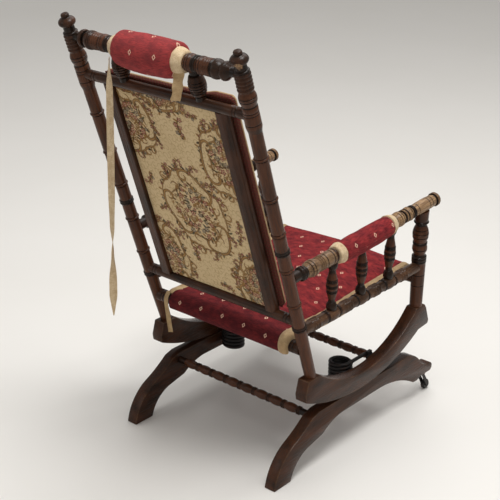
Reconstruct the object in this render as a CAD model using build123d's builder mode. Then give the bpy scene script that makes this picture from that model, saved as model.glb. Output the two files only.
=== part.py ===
"""Platform rocking armchair: a turned frame on crescent rockers, on a sprung base with front castors."""
import os
from math import cos, pi, radians, sin, sqrt

from build123d import *

# Setting out, in millimetres: X across the chair, Y to the rear, Z up, floor at zero
SIDES = {"left": 1, "right": -1}
CONTACT_Y = -63.2  # line where the rockers rest on the base
SIDE_X = 226.0  # middle plane of the rockers
BASE_X = 221.0  # middle plane of the base rails
BASE_TOP_Z = 138.0
ROLL_GAP = 0.3  # running gap under the rockers
SEAT_GAP = 0.15  # gap left where one turned piece is coped to another
SOFT_GAP = 0.3  # gap between upholstery and wood

# Base rails, distances from the contact line
BASE_RAIL_T = 30.0
RAIL_FLAT_REAR = 146.0
RAIL_FLAT_FRONT = 206.0
KNEE_Y = 171.0
KNEE_DROP = 7.0
FOOT_BACK = 306.0
FOOT_FRONT = 248.0
ARCH_Z = 98.0
TOE_Z = 57.0  # underside of the toe, where the castor plate sits
TOE_TIP = 320.0
TOE_FLAT_END = 311.0
TOE_TOP = (308.0, 24.0)  # forward of the contact line, above the toe's underside
TOE_BROW = (284.0, 29.0)
SCROLL = (267.0, 42.0)
SCROLL_RISE = (243.0, 67.0)
BALL_Y = 238.0  # lowest part of the arch's front

# Base stretchers
STRETCHER_R = 11.0
STRETCHER_WAIST = 8.2
STRETCHER_BOBBINS = 8
REAR_STRETCHER_Y = 148.0
REAR_STRETCHER_Z = 119.0
FRONT_STRETCHER_Y = -190.0
FRONT_STRETCHER_Z = 112.0

# Rockers
ROCKER_T = 32.0
ROCKER_R = 470.0  # rolling radius
ROCKER_REAR = 202.0
ROCKER_REAR_TOP = 236.0
ROCKER_REAR_FLAT = 50.0
ROCKER_WAIST_Z = 178.0
ROCKER_FRONT_TOP = 264.0
ROCKER_FRONT_FLAT = (226.0, 261.0)
ROCKER_ARC_FRONT = 238.0
ROCKER_NOSE = 281.0

# Back posts, distances along the post from its foot
POST_FOOT_Y = 172.0
LEAN = 18.0
SPLAY = 0.95
POST_LENGTH = 835.0
POST_R = 14.5
POST_FOOT_R = 13.2
POST_HEAD_R = 16.4
POST_RING_R = 16.2
POST_RINGS = (148.0, 358.0)
HEAD_LENGTH = 175.0
BALL_R = 18.6
SEAT_RAIL_S = 80.0
SIDE_RAIL_S = 136.0
LOWER_RAIL_S = 163.0
ARM_S = 280.0
UPPER_RAIL_S = 692.0
CREST_S = 783.0

# Tenons shared by every turned rail
TENON_R = 8.0
TENON_FIT = 0.06
TENON_DEPTH = 10.0

# Front posts, arms and spindles
FRONT_FOOT_Y = -243.0
FRONT_R = 14.6
ARM_TIP_X = 250.0
ARM_TIP_Y = -266.0
ARM_TIP_Z = 543.0
ARM_R = 17.2
ARM_CORE_R = 13.0
GRIP_R = 13.8
ARM_END_R = 16.2
POST_TO_TIP = 52.0  # from the front post to the arm's tip
SPINDLES = (108.0, 214.0, 320.0)  # along the side rail from the back post
SPINDLE_RAKE = 8.0
SPINDLE_R = 11.5
SPINDLE_NECK_R = 7.5

# Seat rails
SIDE_RAIL_R = 15.6
SIDE_RAIL_WAIST = 13.0
SIDE_RAIL_BOBBINS = 8
SIDE_RAIL_FRONT_Z = 376.0
FRONT_RAIL_Z = 342.0
FRONT_RAIL_R = 16.0
REAR_RAIL_R = 15.0

# Back
CREST_R = 15.5
CREST_RING_R = 19.5
UPPER_RAIL_R = 11.5
LOWER_RAIL_R = 12.0
CREST_SPINDLE_X = 108.0
CREST_SPINDLE_R = 16.5
CREST_SPINDLE_FOOT_R = 11.0
CREST_SPINDLE_NECK_R = 8.0
STILE_X = 159.0
STILE_W = 26.0
STILE_FRONT = 12.0
STILE_REAR = 10.0
TAPESTRY_T = 4.0
TAPESTRY_SET_BACK = 4.0
BACK_PAD_X = 188.0
BACK_PAD_BOTTOM = 176.0
BACK_PAD_TOP = 712.0
BACK_PAD_EDGE_T = 16.0
BACK_PAD_CROWN = 18.0

# Seat
SEAT_X = 168.0
SEAT_WRAP = 9.0
SEAT_T = 26.0
SEAT_CROWN = 14.0
SEAT_SAG = 16.0
SEAT_DROP = 13.0  # how far the cover hangs behind the rear rail
SEAT_EDGE_W = 30.0

# Head roll and arm pads
ROLL_X = 6.5
ROLL_LENGTH = 163.0
ROLL_END_R = 28.0
ROLL_SAG = 4.0
ROLL_SWELL = 11.5
BAND_W = 22.0
HEAD_BAND_R = 26.0
ARM_PAD_FROM = 168.0
ARM_PAD_TO = 342.0
ARM_PAD_END_R = 22.0
ARM_PAD_SWELL = 5.0
ARM_PAD_SAG = 2.0
ARM_BAND_W = 16.0

# Tape tails
TAPE_T = 1.4
LONG_TAIL = 577.0
LONG_TAIL_W = 17.5
LONG_TAIL_BEHIND = 25.0
LONG_TAIL_TWIST = (-45, 8, 14, 14, 8, -10, -60, -120, -135)
SHORT_TAIL = 50.0
SHORT_TAIL_BEHIND = 12.0
SHORT_TAIL_TWIST = (14, 30, 36, 38)
SEAT_TAIL = 86.0
SEAT_TAIL_INSET = 5.0  # from the edge of the red cover
SEAT_TAIL_W = 11.0
SEAT_TAIL_TWIST = (6, 20, 30, 36)
SEAT_TAIL_CLEAR = 2.4
SEAT_TAIL_LAP = 27.0  # how far it laps up the seat's tape

# Springs
COIL_Y = -14.0
COIL_R = 22.0
WIRE_R = 4.0
WIRE_SIDES = 6
COIL_LOW_Z = 110.0
COIL_TOP_Z = 184.0
COIL_TURNS = 3.75
COIL_CLEAR = 4.0
WIRE_GAP = 0.2  # between the wire's ends and the lugs
STRAP_Y = -84.0
LUG = 16.0
LUG_PLATE_T = 3.0
LUG_PLATE_W = 34.0
SHOE_RISE = 4.0  # plate above the wire, on the base
STRAP_DROP = 14.0  # plate below the wire, on the rocker

# Castors
CASTER_Y = -290.0
CASTER_TRAIL = 24.0
CASTER_WHEEL_R = 13.0
CASTER_WHEEL_W = 11.0
RIM_ROUND = 2.5
CASTER_PLATE_R = 13.0
CASTER_PLATE_T = 3.0
PINTLE_R = 3.0
PINTLE_HEAD_R = 5.0
PINTLE_HEAD_T = 2.0
FORK_T = 2.5
FORK_CROWN_T = 4.0
FORK_SIDE_GAP = 1.0
AXLE_R = 2.5
RUNNING_FIT = 0.05

ROLL_Z = BASE_TOP_Z + ROLL_GAP
UP = Vector(0, 0, 1)
BACK_UP = Vector(0, sin(radians(LEAN)), cos(radians(LEAN)))
BACK_FRONT = Vector(0, -cos(radians(LEAN)), sin(radians(LEAN)))
BACK_ORIGIN = Vector(0, CONTACT_Y + POST_FOOT_Y, ROCKER_REAR_TOP)
pieces = {}


def keep(name, part):
    """Label a finished piece and keep it for export."""
    part.label = name
    pieces[name] = part


def side_plane(x):
    """Plane across the chair at x: sketch x runs along Y from the contact line, sketch y runs up Z."""
    return Plane(origin=(x, CONTACT_Y, 0), x_dir=(0, 1, 0), z_dir=(1, 0, 0))


def back_plane(offset=0.0):
    """Plane of the back, offset towards the sitter: sketch x is X, sketch y runs up the posts."""
    return Plane(origin=BACK_ORIGIN + BACK_FRONT * offset, x_dir=(1, 0, 0), z_dir=BACK_FRONT)


def post_direction(side):
    """Axis of a back post, leaning back and splayed outward."""
    tilt = radians(SPLAY)
    return Vector(side * sin(tilt), cos(tilt) * BACK_UP.Y, cos(tilt) * BACK_UP.Z)


def post_point(side, s):
    """Point on the axis of a back post."""
    return BACK_ORIGIN + Vector(side * SIDE_X, 0, 0) + post_direction(side) * s


def arm_start(side):
    return post_point(side, ARM_S)


def arm_tip(side):
    return Vector(side * ARM_TIP_X, CONTACT_Y + ARM_TIP_Y, ARM_TIP_Z)


def arm_point(side, distance):
    """Point on the arm's axis, measured from the back post."""
    return arm_start(side) + (arm_tip(side) - arm_start(side)).normalized() * distance


def arm_length():
    return (arm_tip(1) - arm_start(1)).length


def front_foot(side):
    return Vector(side * SIDE_X, CONTACT_Y + FRONT_FOOT_Y, ROCKER_FRONT_TOP)


def front_head(side):
    """Where the front post's axis meets the arm's axis."""
    return arm_point(side, arm_length() - POST_TO_TIP)


def front_point(side, z):
    """Point on the front post's axis at a height."""
    foot = front_foot(side)
    along = front_head(side) - foot
    return foot + along * ((z - foot.Z) / along.Z)


def rail_start(side):
    return post_point(side, SIDE_RAIL_S)


def rail_end(side):
    return front_point(side, SIDE_RAIL_FRONT_Z)


def rail_point(side, distance):
    """Point on the side rail's axis, measured from the back post."""
    return rail_start(side) + (rail_end(side) - rail_start(side)).normalized() * distance


def radius_at(stations, distance):
    """Radius of a lathe profile at a distance along it."""
    for (d0, r0), (d1, r1) in zip(stations, stations[1:]):
        if d0 <= distance <= d1:
            return r0 + (r1 - r0) * (distance - d0) / max(d1 - d0, 1e-9)
    return stations[-1][1]


def widest(stations, distance, reach):
    """Largest radius of a lathe profile within reach of a distance along it."""
    near = [r for d, r in stations if abs(d - distance) <= reach]
    ends = [radius_at(stations, distance - reach), radius_at(stations, distance + reach)]
    return max(near + ends)


def lathe(stations, start, end):
    """Solid turned about the line from start to end, through stations of (distance, radius)."""
    along = (end - start).normalized()
    across = along.cross(UP) if abs(along.Z) < 0.9 else along.cross(Vector(1, 0, 0))
    with BuildPart() as turning:
        with BuildSketch(Plane(origin=start, x_dir=along, z_dir=across.normalized())):
            with BuildLine():
                Polyline((stations[0][0], 0), *stations, (stations[-1][0], 0), close=True)
            make_face()
        revolve(axis=Axis(start, along))
    return turning.part


def rod(start, end, radius):
    """Plain round bar between two points."""
    return lathe([(0, radius), ((end - start).length, radius)], start, end)


def host_rod(point, direction, radius, reach=40.0):
    """Round bar that stands for the piece another one is coped to."""
    return rod(point - direction * reach, point + direction * reach, radius)


def tenoned(name, stations, start, end, hosts):
    """Turned rail coped to round hosts at its ends and tenoned into them; hosts are (point, axis, radius)."""
    along = (end - start).normalized()
    with BuildPart() as rail:
        add(lathe(stations, start, end))
        for point, direction, radius in hosts:
            add(host_rod(point, direction, radius + SEAT_GAP), mode=Mode.SUBTRACT)
        add(tenon_bar(start, along, hosts[0][2]))
        add(tenon_bar(end, along * -1, hosts[1][2]))
    keep(name, rail.part)


def tenon_bar(axis_point, inward, host_radius, clearance=0.0):
    """Tenon, or with a clearance its socket, from inside the host to just outside its surface."""
    first = axis_point + inward * (host_radius - TENON_DEPTH - clearance)
    last = axis_point + inward * (host_radius + SEAT_GAP + TENON_R)
    return rod(first, last, TENON_R + clearance)


def socket(axis_point, inward, host_radius):
    return tenon_bar(axis_point, inward, host_radius, TENON_FIT)


def bobbins(length, margin, count, waist, crown):
    """Lathe stations of a run of bobbins between two plain ends."""
    pitch = (length - 2 * margin) / count
    stations = [(0, waist)]
    for i in range(count):
        first = margin + i * pitch
        stations += [(first, waist), (first + pitch / 2, crown)]
    return stations + [(length - margin, waist), (length, waist)]


# Base rails: flat-topped, with a swept rear leg, an arch below and a scrolled toe
def base_rail(name, side):
    front_top = (-RAIL_FLAT_FRONT, BASE_TOP_Z)
    knee = (KNEE_Y, BASE_TOP_Z - KNEE_DROP)
    calf = (KNEE_Y + 69, BASE_TOP_Z - 49)
    shin = (189, 60)
    hock = (132, 72)
    arch_rear = (60, ARCH_Z)
    arch_front = (-83, ARCH_Z)
    ball = (-BALL_Y, TOE_Z - 5)
    toe_heel = (-BALL_Y - 31, TOE_Z)
    toe_under = (-TOE_FLAT_END, TOE_Z)
    toe_top = (-TOE_TOP[0], TOE_Z + TOE_TOP[1])
    scroll = (-SCROLL[0], TOE_Z + SCROLL[1])
    with BuildPart() as rail:
        with BuildSketch(side_plane(side * BASE_X)):
            with BuildLine():
                Polyline(front_top, (RAIL_FLAT_REAR, BASE_TOP_Z), knee)
                ThreePointArc(knee, (KNEE_Y + 33, BASE_TOP_Z - 30), calf)
                ThreePointArc(calf, (FOOT_BACK - 21, 51), (FOOT_BACK, 0))
                Line((FOOT_BACK, 0), (FOOT_FRONT, 0))
                ThreePointArc((FOOT_FRONT, 0), (FOOT_FRONT - 21, 37), shin)
                Line(shin, hock)
                ThreePointArc(hock, (103, ARCH_Z - 10), arch_rear)
                Line(arch_rear, arch_front)
                ThreePointArc(arch_front, (-166, ARCH_Z - 12), ball)
                Polyline(ball, (-BALL_Y - 17, TOE_Z - 6), toe_heel, toe_under)
                ThreePointArc(toe_under, (-TOE_TIP, TOE_Z + 15), toe_top)
                ThreePointArc(toe_top, (-TOE_BROW[0], TOE_Z + TOE_BROW[1]), scroll)
                ThreePointArc(scroll, (-SCROLL_RISE[0], TOE_Z + SCROLL_RISE[1]), front_top)
            make_face()
        extrude(amount=BASE_RAIL_T / 2, both=True)
        for y, z in stretcher_places():
            end = Vector(side * (BASE_X - BASE_RAIL_T / 2), CONTACT_Y + y, z)
            add(flat_socket(end, Vector(side, 0, 0)), mode=Mode.SUBTRACT)
    keep(name, rail.part)


def stretcher_places():
    return ((REAR_STRETCHER_Y, REAR_STRETCHER_Z), (FRONT_STRETCHER_Y, FRONT_STRETCHER_Z))


def flat_socket(face_point, inward):
    """Blind socket in a flat face."""
    return rod(face_point - inward, face_point + inward * (TENON_DEPTH + TENON_FIT), TENON_R + TENON_FIT)


def base_stretcher(name, y, z):
    reach = BASE_X - BASE_RAIL_T / 2
    start = Vector(-reach, CONTACT_Y + y, z)
    end = Vector(reach, CONTACT_Y + y, z)
    with BuildPart() as stretcher:
        add(lathe(bobbins(2 * reach, 24, STRETCHER_BOBBINS, STRETCHER_WAIST, STRETCHER_R), start, end))
        for point, inward in ((start, Vector(-1, 0, 0)), (end, Vector(1, 0, 0))):
            add(rod(point - inward, point + inward * TENON_DEPTH, TENON_R))
    keep(name, stretcher.part)


# Rockers: crescents with flats for the posts
def rocker_bottom(y):
    """Height of the rolling arc at a distance from the contact line."""
    return ROLL_Z + ROCKER_R - sqrt(ROCKER_R**2 - y**2)


def rocker(name, side):
    rear_low = (ROCKER_REAR, rocker_bottom(ROCKER_REAR))
    rear_top = (ROCKER_REAR, ROCKER_REAR_TOP)
    rear_in = (ROCKER_REAR - ROCKER_REAR_FLAT, ROCKER_REAR_TOP)
    front_in = (-ROCKER_FRONT_FLAT[0], ROCKER_FRONT_TOP)
    front_out = (-ROCKER_FRONT_FLAT[1], ROCKER_FRONT_TOP)
    nose_top = (-ROCKER_NOSE + 13, ROCKER_FRONT_TOP - 11)
    nose = (-ROCKER_NOSE, ROCKER_FRONT_TOP - 50)
    chin = (-ROCKER_NOSE + 4, ROCKER_FRONT_TOP - 58)
    front_low = (-ROCKER_ARC_FRONT, rocker_bottom(ROCKER_ARC_FRONT))
    with BuildPart() as crescent:
        with BuildSketch(side_plane(side * SIDE_X)):
            with BuildLine():
                ThreePointArc(front_low, (0, ROLL_Z), rear_low)
                Polyline(rear_low, rear_top, rear_in)
                ThreePointArc(rear_in, (-10, ROCKER_WAIST_Z), front_in)
                Polyline(front_in, front_out, nose_top, nose, chin, front_low)
            make_face()
        extrude(amount=ROCKER_T / 2, both=True)
    keep(name, crescent.part)


# Back posts: bamboo-grooved shafts under a ringed head and a ball finial
def post_stations():
    head = POST_LENGTH - HEAD_LENGTH
    stations = [(-12, POST_FOOT_R), (0, POST_FOOT_R)]
    for s in POST_RINGS:
        stations += [(s - 6, POST_R), (s - 4, POST_RING_R), (s + 4, POST_RING_R), (s + 6, POST_R)]
    stations += [(head, POST_R), (head + 6, POST_HEAD_R), (head + 54, POST_HEAD_R), (head + 59, POST_R - 1)]
    stations += [(head + 64, POST_HEAD_R + 1), (head + 80, POST_HEAD_R + 1), (head + 87, POST_R - 1)]
    stations += [(head + 92, POST_HEAD_R + 1.2), (head + 128, POST_HEAD_R)]
    neck = POST_LENGTH - 37
    stations += [(neck, POST_R - 2.5), (neck + 6, BALL_R - 2.6), (neck + 13, BALL_R), (neck + 20, BALL_R - 2)]
    stations += [(neck + 26, BALL_R - 9), (POST_LENGTH - 3, BALL_R - 10), (POST_LENGTH, BALL_R - 14)]
    return stations


def cross_rails():
    """Rails between the back posts: name, place along the post."""
    return (
        ("rear_seat_rail", SEAT_RAIL_S),
        ("lower_back_rail", LOWER_RAIL_S),
        ("upper_back_rail", UPPER_RAIL_S),
        ("crest_rail", CREST_S),
    )


def back_post(name, side):
    stations = post_stations()
    foot = post_point(side, 0)
    inward = Vector(-side, 0, 0)
    with BuildPart() as post:
        add(lathe(stations, foot, post_point(side, POST_LENGTH)))
        split(bisect_by=Plane(origin=foot, z_dir=(0, 0, 1)), keep=Keep.TOP)
        for _, s in cross_rails():
            add(socket(post_point(side, s), inward, post_host(side, s)[2]), mode=Mode.SUBTRACT)
        rail_run = (rail_end(side) - rail_start(side)).normalized()
        add(socket(rail_start(side), rail_run, post_host(side, SIDE_RAIL_S)[2]), mode=Mode.SUBTRACT)
        arm_run = (arm_tip(side) - arm_start(side)).normalized()
        add(socket(arm_start(side), arm_run, post_host(side, ARM_S)[2]), mode=Mode.SUBTRACT)
    keep(name, post.part)


def post_host(side, s, reach=SIDE_RAIL_R):
    """What a rail of radius reach is coped to: the back post there, at its widest."""
    return (post_point(side, s), post_direction(side), widest(post_stations(), s, reach))


# Front posts: turned, standing on the rockers and coped under the arms
def front_stations():
    height = (front_head(1) - front_foot(1)).length
    return [
        (0, FRONT_R - 0.8),
        (126, FRONT_R),
        (129, FRONT_R + 2),
        (142, FRONT_R + 2),
        (149, FRONT_R - 2.2),
        (166, FRONT_R + 1.4),
        (205, FRONT_R + 1.4),
        (227, FRONT_R - 2.4),
        (233, FRONT_R + 1),
        (height - GRIP_R - 3, FRONT_R + 1),
        (height - GRIP_R, FRONT_R - 3),
        (height, FRONT_R - 3),
    ]


def front_host(side, z):
    """What a rail is coped to at a height: the front post there, at its widest."""
    foot = front_foot(side)
    point = front_point(side, z)
    radius = widest(front_stations(), (point - foot).length, SIDE_RAIL_R)
    return (point, (front_head(side) - foot).normalized(), radius)


def front_post(name, side):
    foot = front_foot(side)
    head = front_head(side)
    rise = (head - foot).normalized()
    arm_run = (arm_tip(side) - arm_start(side)).normalized()
    rail_run = (rail_start(side) - rail_end(side)).normalized()
    with BuildPart() as post:
        add(lathe([(-8, FRONT_R - 0.8)] + front_stations(), foot, head))
        split(bisect_by=Plane(origin=foot, z_dir=(0, 0, 1)), keep=Keep.TOP)
        add(host_rod(head, arm_run, GRIP_R + SEAT_GAP), mode=Mode.SUBTRACT)
        add(rod(head - rise * (GRIP_R + TENON_R), head - rise * (GRIP_R - TENON_DEPTH), TENON_R))
        add(socket(front_point(side, FRONT_RAIL_Z), Vector(-side, 0, 0), front_host(side, FRONT_RAIL_Z)[2]),
            mode=Mode.SUBTRACT)
        add(socket(rail_end(side), rail_run, front_host(side, SIDE_RAIL_FRONT_Z)[2]), mode=Mode.SUBTRACT)
    keep(name, post.part)


# Arms: turned, plain under the pad, with a grip and end ring in front
def arm_stations():
    length = arm_length()
    back = ARM_PAD_FROM - ARM_BAND_W
    front = ARM_PAD_TO + ARM_BAND_W
    return [
        (0, ARM_R - 5),
        (34, ARM_R - 5),
        (37, ARM_R - 1.5),
        (45, ARM_R - 1.5),
        (50, ARM_R - 4),
        (75, ARM_R),
        (back - 2, ARM_R),
        (back - 0.5, ARM_CORE_R),
        (front + 0.5, ARM_CORE_R),
        (front + 10, GRIP_R + 1.6),
        (front + 36, GRIP_R + 1.6),
        (front + 44, GRIP_R - 0.8),
        (front + 48, GRIP_R + 2.4),
        (front + 58, GRIP_R + 2.4),
        (front + 64, GRIP_R),
        (length - 14, GRIP_R),
        (length - 11, ARM_END_R),
        (length - 2, ARM_END_R),
        (length, ARM_END_R - 3),
    ]


def arm(name, side):
    start = arm_start(side)
    along = (arm_tip(side) - start).normalized()
    head = front_head(side)
    rise = (head - front_foot(side)).normalized()
    with BuildPart() as bar:
        add(lathe(arm_stations(), start, arm_tip(side)))
        _, post_run, post_r = post_host(side, ARM_S)
        add(host_rod(start, post_run, post_r + SEAT_GAP), mode=Mode.SUBTRACT)
        add(tenon_bar(start, along, post_r))
        bore_top = head - rise * (GRIP_R - TENON_DEPTH - TENON_FIT)
        add(rod(head - rise * (GRIP_R + TENON_R), bore_top, TENON_R + TENON_FIT), mode=Mode.SUBTRACT)
    keep(name, bar.part)


def side_rail_stations():
    length = (rail_end(1) - rail_start(1)).length
    return bobbins(length, 34, SIDE_RAIL_BOBBINS, SIDE_RAIL_WAIST, SIDE_RAIL_R)


def spindle_ends(side, distance):
    """Axis points of a spindle on the side rail and on the arm."""
    low = rail_point(side, distance)
    run = (arm_tip(side) - arm_start(side)).normalized()
    reach = (arm_start(side).Y - low.Y - SPINDLE_RAKE) / abs(run.Y)
    return low, arm_start(side) + run * reach, reach


def spindle(name, side, distance):
    low, high, reach = spindle_ends(side, distance)
    rail_run = (rail_end(side) - rail_start(side)).normalized()
    arm_run = (arm_tip(side) - arm_start(side)).normalized()
    rail_r = widest(side_rail_stations(), distance, SPINDLE_R)
    arm_r = widest(arm_stations(), reach, SPINDLE_R)
    length = (high - low).length
    body = length - rail_r - arm_r
    stations = [
        (rail_r - 3, SPINDLE_R - 1),
        (rail_r + body * 0.2, SPINDLE_NECK_R),
        (rail_r + body * 0.4, SPINDLE_R),
        (rail_r + body * 0.62, SPINDLE_R),
        (rail_r + body * 0.84, SPINDLE_NECK_R),
        (length - arm_r + 3, SPINDLE_NECK_R + 1.5),
    ]
    with BuildPart() as turned:
        add(lathe(stations, low, high))
        add(host_rod(low, rail_run, rail_r + SEAT_GAP), mode=Mode.SUBTRACT)
        add(host_rod(high, arm_run, arm_r + SEAT_GAP), mode=Mode.SUBTRACT)
    keep(name, turned.part)


# Back: crest rail, plain rails, small spindles, stiles and panel
def crest_stations():
    half = post_point(1, CREST_S).X
    one_end = [
        (0, CREST_R - 4.5),
        (30, CREST_R - 4.5),
        (37, CREST_RING_R),
        (45, CREST_RING_R),
        (48, CREST_R - 2),
        (54, CREST_RING_R),
        (73, CREST_RING_R),
        (80, CREST_R + 2),
        (110, CREST_RING_R - 1),
        (114, CREST_R),
    ]
    return one_end + [(2 * half - d, r) for d, r in reversed(one_end)]


def plain_rail(half, radius):
    return [(0, radius), (2 * half, radius)]


def cross_rail(name, s, stations):
    hosts = (post_host(-1, s), post_host(1, s))
    tenoned(name, stations, post_point(-1, s), post_point(1, s), hosts)


def crest_spindle(name, side):
    low = post_on_back(side * CREST_SPINDLE_X, UPPER_RAIL_S)
    high = post_on_back(side * CREST_SPINDLE_X, CREST_S)
    length = CREST_S - UPPER_RAIL_S
    crest_r = widest(crest_stations(), high.X + post_point(1, CREST_S).X, CREST_SPINDLE_FOOT_R)
    stations = [
        (UPPER_RAIL_R - 3, CREST_SPINDLE_FOOT_R),
        (UPPER_RAIL_R + 8, CREST_SPINDLE_FOOT_R),
        (UPPER_RAIL_R + 14, CREST_SPINDLE_NECK_R),
        (UPPER_RAIL_R + 26, CREST_SPINDLE_R),
        (length - crest_r - 24, CREST_SPINDLE_R),
        (length - crest_r - 12, CREST_SPINDLE_NECK_R),
        (length - crest_r + 3, CREST_SPINDLE_FOOT_R),
    ]
    with BuildPart() as turned:
        add(lathe(stations, low, high))
        add(host_rod(low, Vector(1, 0, 0), UPPER_RAIL_R + SEAT_GAP), mode=Mode.SUBTRACT)
        add(host_rod(high, Vector(1, 0, 0), crest_r + SEAT_GAP), mode=Mode.SUBTRACT)
    keep(name, turned.part)


def post_on_back(x, s):
    """Point in the plane of the back, at x and at the height of the posts' station s."""
    level = post_point(1, s)
    return Vector(x, level.Y, level.Z)


def back_height(s):
    """Distance up the plane of the back that matches a post station."""
    return s * cos(radians(SPLAY))


def stile(name, side):
    with BuildPart() as bar:
        with BuildSketch(back_plane(-STILE_REAR)):
            with Locations((side * STILE_X, (back_height(LOWER_RAIL_S) + back_height(UPPER_RAIL_S)) / 2)):
                Rectangle(STILE_W, back_height(UPPER_RAIL_S) - back_height(LOWER_RAIL_S))
        extrude(amount=STILE_REAR + STILE_FRONT)
        edges = bar.edges().filter_by(lambda e: abs((e @ 1 - e @ 0).normalized().dot(BACK_UP)) > 0.99)
        chamfer(edges, 2.5)
        for s, radius in ((LOWER_RAIL_S, LOWER_RAIL_R), (UPPER_RAIL_S, UPPER_RAIL_R)):
            point = post_on_back(side * STILE_X, s)
            add(host_rod(point, Vector(1, 0, 0), radius + SEAT_GAP), mode=Mode.SUBTRACT)
    keep(name, bar.part)


def back_tapestry():
    low = back_height(LOWER_RAIL_S) + LOWER_RAIL_R + SOFT_GAP
    high = back_height(UPPER_RAIL_S) - UPPER_RAIL_R - SOFT_GAP
    width = 2 * (STILE_X - STILE_W / 2 - SOFT_GAP)
    with BuildPart() as panel:
        with BuildSketch(back_plane(-STILE_REAR + TAPESTRY_SET_BACK)):
            with Locations((0, (low + high) / 2)):
                Rectangle(width, high - low)
        extrude(amount=TAPESTRY_T)
    keep("back_tapestry", panel.part)


def back_pad():
    """Crowned pad on the front of the back, lofted across its width."""
    rear = max(STILE_FRONT, LOWER_RAIL_R) + SOFT_GAP
    low = back_height(BACK_PAD_BOTTOM)
    high = back_height(BACK_PAD_TOP)
    with BuildPart() as pad:
        for share in (-1, -0.8, 0, 0.8, 1):
            crown = BACK_PAD_EDGE_T + BACK_PAD_CROWN * (1 - share**2)
            inset = 0 if abs(share) == 1 else 6
            plane = Plane(
                origin=BACK_ORIGIN + Vector(share * BACK_PAD_X, 0, 0), x_dir=BACK_UP, z_dir=(1, 0, 0)
            )
            side_high = high - 6 + inset
            with BuildSketch(plane):
                with BuildLine():
                    Line((low, rear), (side_high, rear))
                    ThreePointArc((side_high, rear), (side_high + 3, rear + 8), (side_high - 10, rear + 14))
                    ThreePointArc(
                        (side_high - 10, rear + 14), ((low + high) / 2, rear + crown), (low + 12, rear + 14)
                    )
                    ThreePointArc((low + 12, rear + 14), (low + 2, rear + 7), (low, rear))
                make_face()
        loft()
    keep("back_pad", pad.part)


# Seat: one cover over the front and rear rails, crowned across
def rail_centre(name):
    """Axis of a seat rail in the side view: distance from the contact line, height."""
    point = front_point(1, FRONT_RAIL_Z) if name == "front" else post_point(1, SEAT_RAIL_S)
    return point.Y - CONTACT_Y, point.Z


def seat_outline(share):
    """Side outline of the seat at a share of its half width."""
    front_y, front_z = rail_centre("front")
    rear_y, rear_z = rail_centre("rear")
    front_r = FRONT_RAIL_R + SOFT_GAP + SEAT_WRAP
    rear_r = REAR_RAIL_R + SOFT_GAP + SEAT_WRAP
    rise = SEAT_CROWN * (1 - share**2)
    diagonal = sin(radians(45))
    front_low = (front_y - front_r, front_z - 10)
    front_bow = (front_y - front_r * diagonal - 1, front_z + front_r * diagonal + rise * 0.4)
    front_top = (front_y + 4, front_z + front_r + rise * 0.6)
    rear_top = (rear_y - 8, rear_z + rear_r + rise * 0.3)
    rear_bow = (rear_y + rear_r * diagonal + 1, rear_z + rear_r * diagonal + rise * 0.2)
    rear_back = (rear_y + rear_r, rear_z - 6)
    rear_low = (rear_y + rear_r, rear_z - SEAT_DROP)
    middle = ((front_top[0] + rear_top[0]) / 2, (front_top[1] + rear_top[1]) / 2 - SEAT_SAG + rise)
    low_mid = (middle[0], middle[1] - SEAT_T - rise)
    rear_inside = (rear_y + REAR_RAIL_R - 1, rear_z)
    rear_under = (rear_y - REAR_RAIL_R + 1, rear_z + 5)
    front_under = (front_y + FRONT_RAIL_R - 1, front_z + 5)
    front_inside = (front_y - FRONT_RAIL_R + 1, front_z)
    with BuildLine() as outline:
        ThreePointArc(front_low, front_bow, front_top)
        ThreePointArc(front_top, middle, rear_top)
        ThreePointArc(rear_top, rear_bow, rear_back)
        Polyline(rear_back, rear_low, (rear_inside[0], rear_low[1]), rear_inside, rear_under)
        ThreePointArc(rear_under, low_mid, front_under)
        Polyline(front_under, front_inside, (front_inside[0], front_low[1]), front_low)
    return outline.line


def cut_seat_rails(reach):
    """Clear the seat rails out of the seat."""
    for name, radius in (("front", FRONT_RAIL_R), ("rear", REAR_RAIL_R)):
        y, z = rail_centre(name)
        start = Vector(-reach, CONTACT_Y + y, z)
        add(rod(start, start + Vector(2 * reach, 0, 0), radius + SOFT_GAP), mode=Mode.SUBTRACT)


def seat_cushion():
    shares = (-1, -0.6, 0, 0.6, 1)
    outlines = [seat_outline(share) for share in shares]
    with BuildPart() as cushion:
        for share, outline in zip(shares, outlines):
            with BuildSketch(side_plane(share * SEAT_X)):
                with BuildLine():
                    add(outline)
                make_face()
        loft()
        cut_seat_rails(SEAT_X + 5)
    keep("seat_cushion", cushion.part)


def seat_edge(name, side):
    outline = seat_outline(1)
    with BuildPart() as edge:
        with BuildSketch(side_plane(side * (SEAT_X + SOFT_GAP))):
            with BuildLine():
                add(outline)
            make_face()
        extrude(amount=side * SEAT_EDGE_W)
        cut_seat_rails(SEAT_X + 2 * SEAT_EDGE_W)
    keep(name, edge.part)


# Head roll, bands and arm pads
def bulged(start, end, end_r, swell):
    """Padded sleeve between two points, fuller in the middle."""
    along = (end - start).normalized()
    across = along.cross(UP).normalized()
    length = (end - start).length
    with BuildPart() as sleeve:
        with BuildSketch(Plane(origin=start, x_dir=along, z_dir=across)):
            with BuildLine():
                Polyline((length, end_r), (length, 0), (0, 0), (0, end_r))
                ThreePointArc((0, end_r), (length / 2, end_r + swell), (length, end_r))
            make_face()
        revolve(axis=Axis(start, along))
    return sleeve.part


def headrest_roll():
    axis = post_on_back(ROLL_X, CREST_S)
    reach = Vector(ROLL_LENGTH / 2, 0, 0)
    sag = Vector(0, 0, -ROLL_SAG)
    with BuildPart() as roll:
        add(bulged(axis - reach + sag, axis + reach + sag, ROLL_END_R, ROLL_SWELL))
        add(host_rod(axis, Vector(1, 0, 0), CREST_R + SOFT_GAP, ROLL_LENGTH), mode=Mode.SUBTRACT)
    keep("headrest_roll", roll.part)


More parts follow.
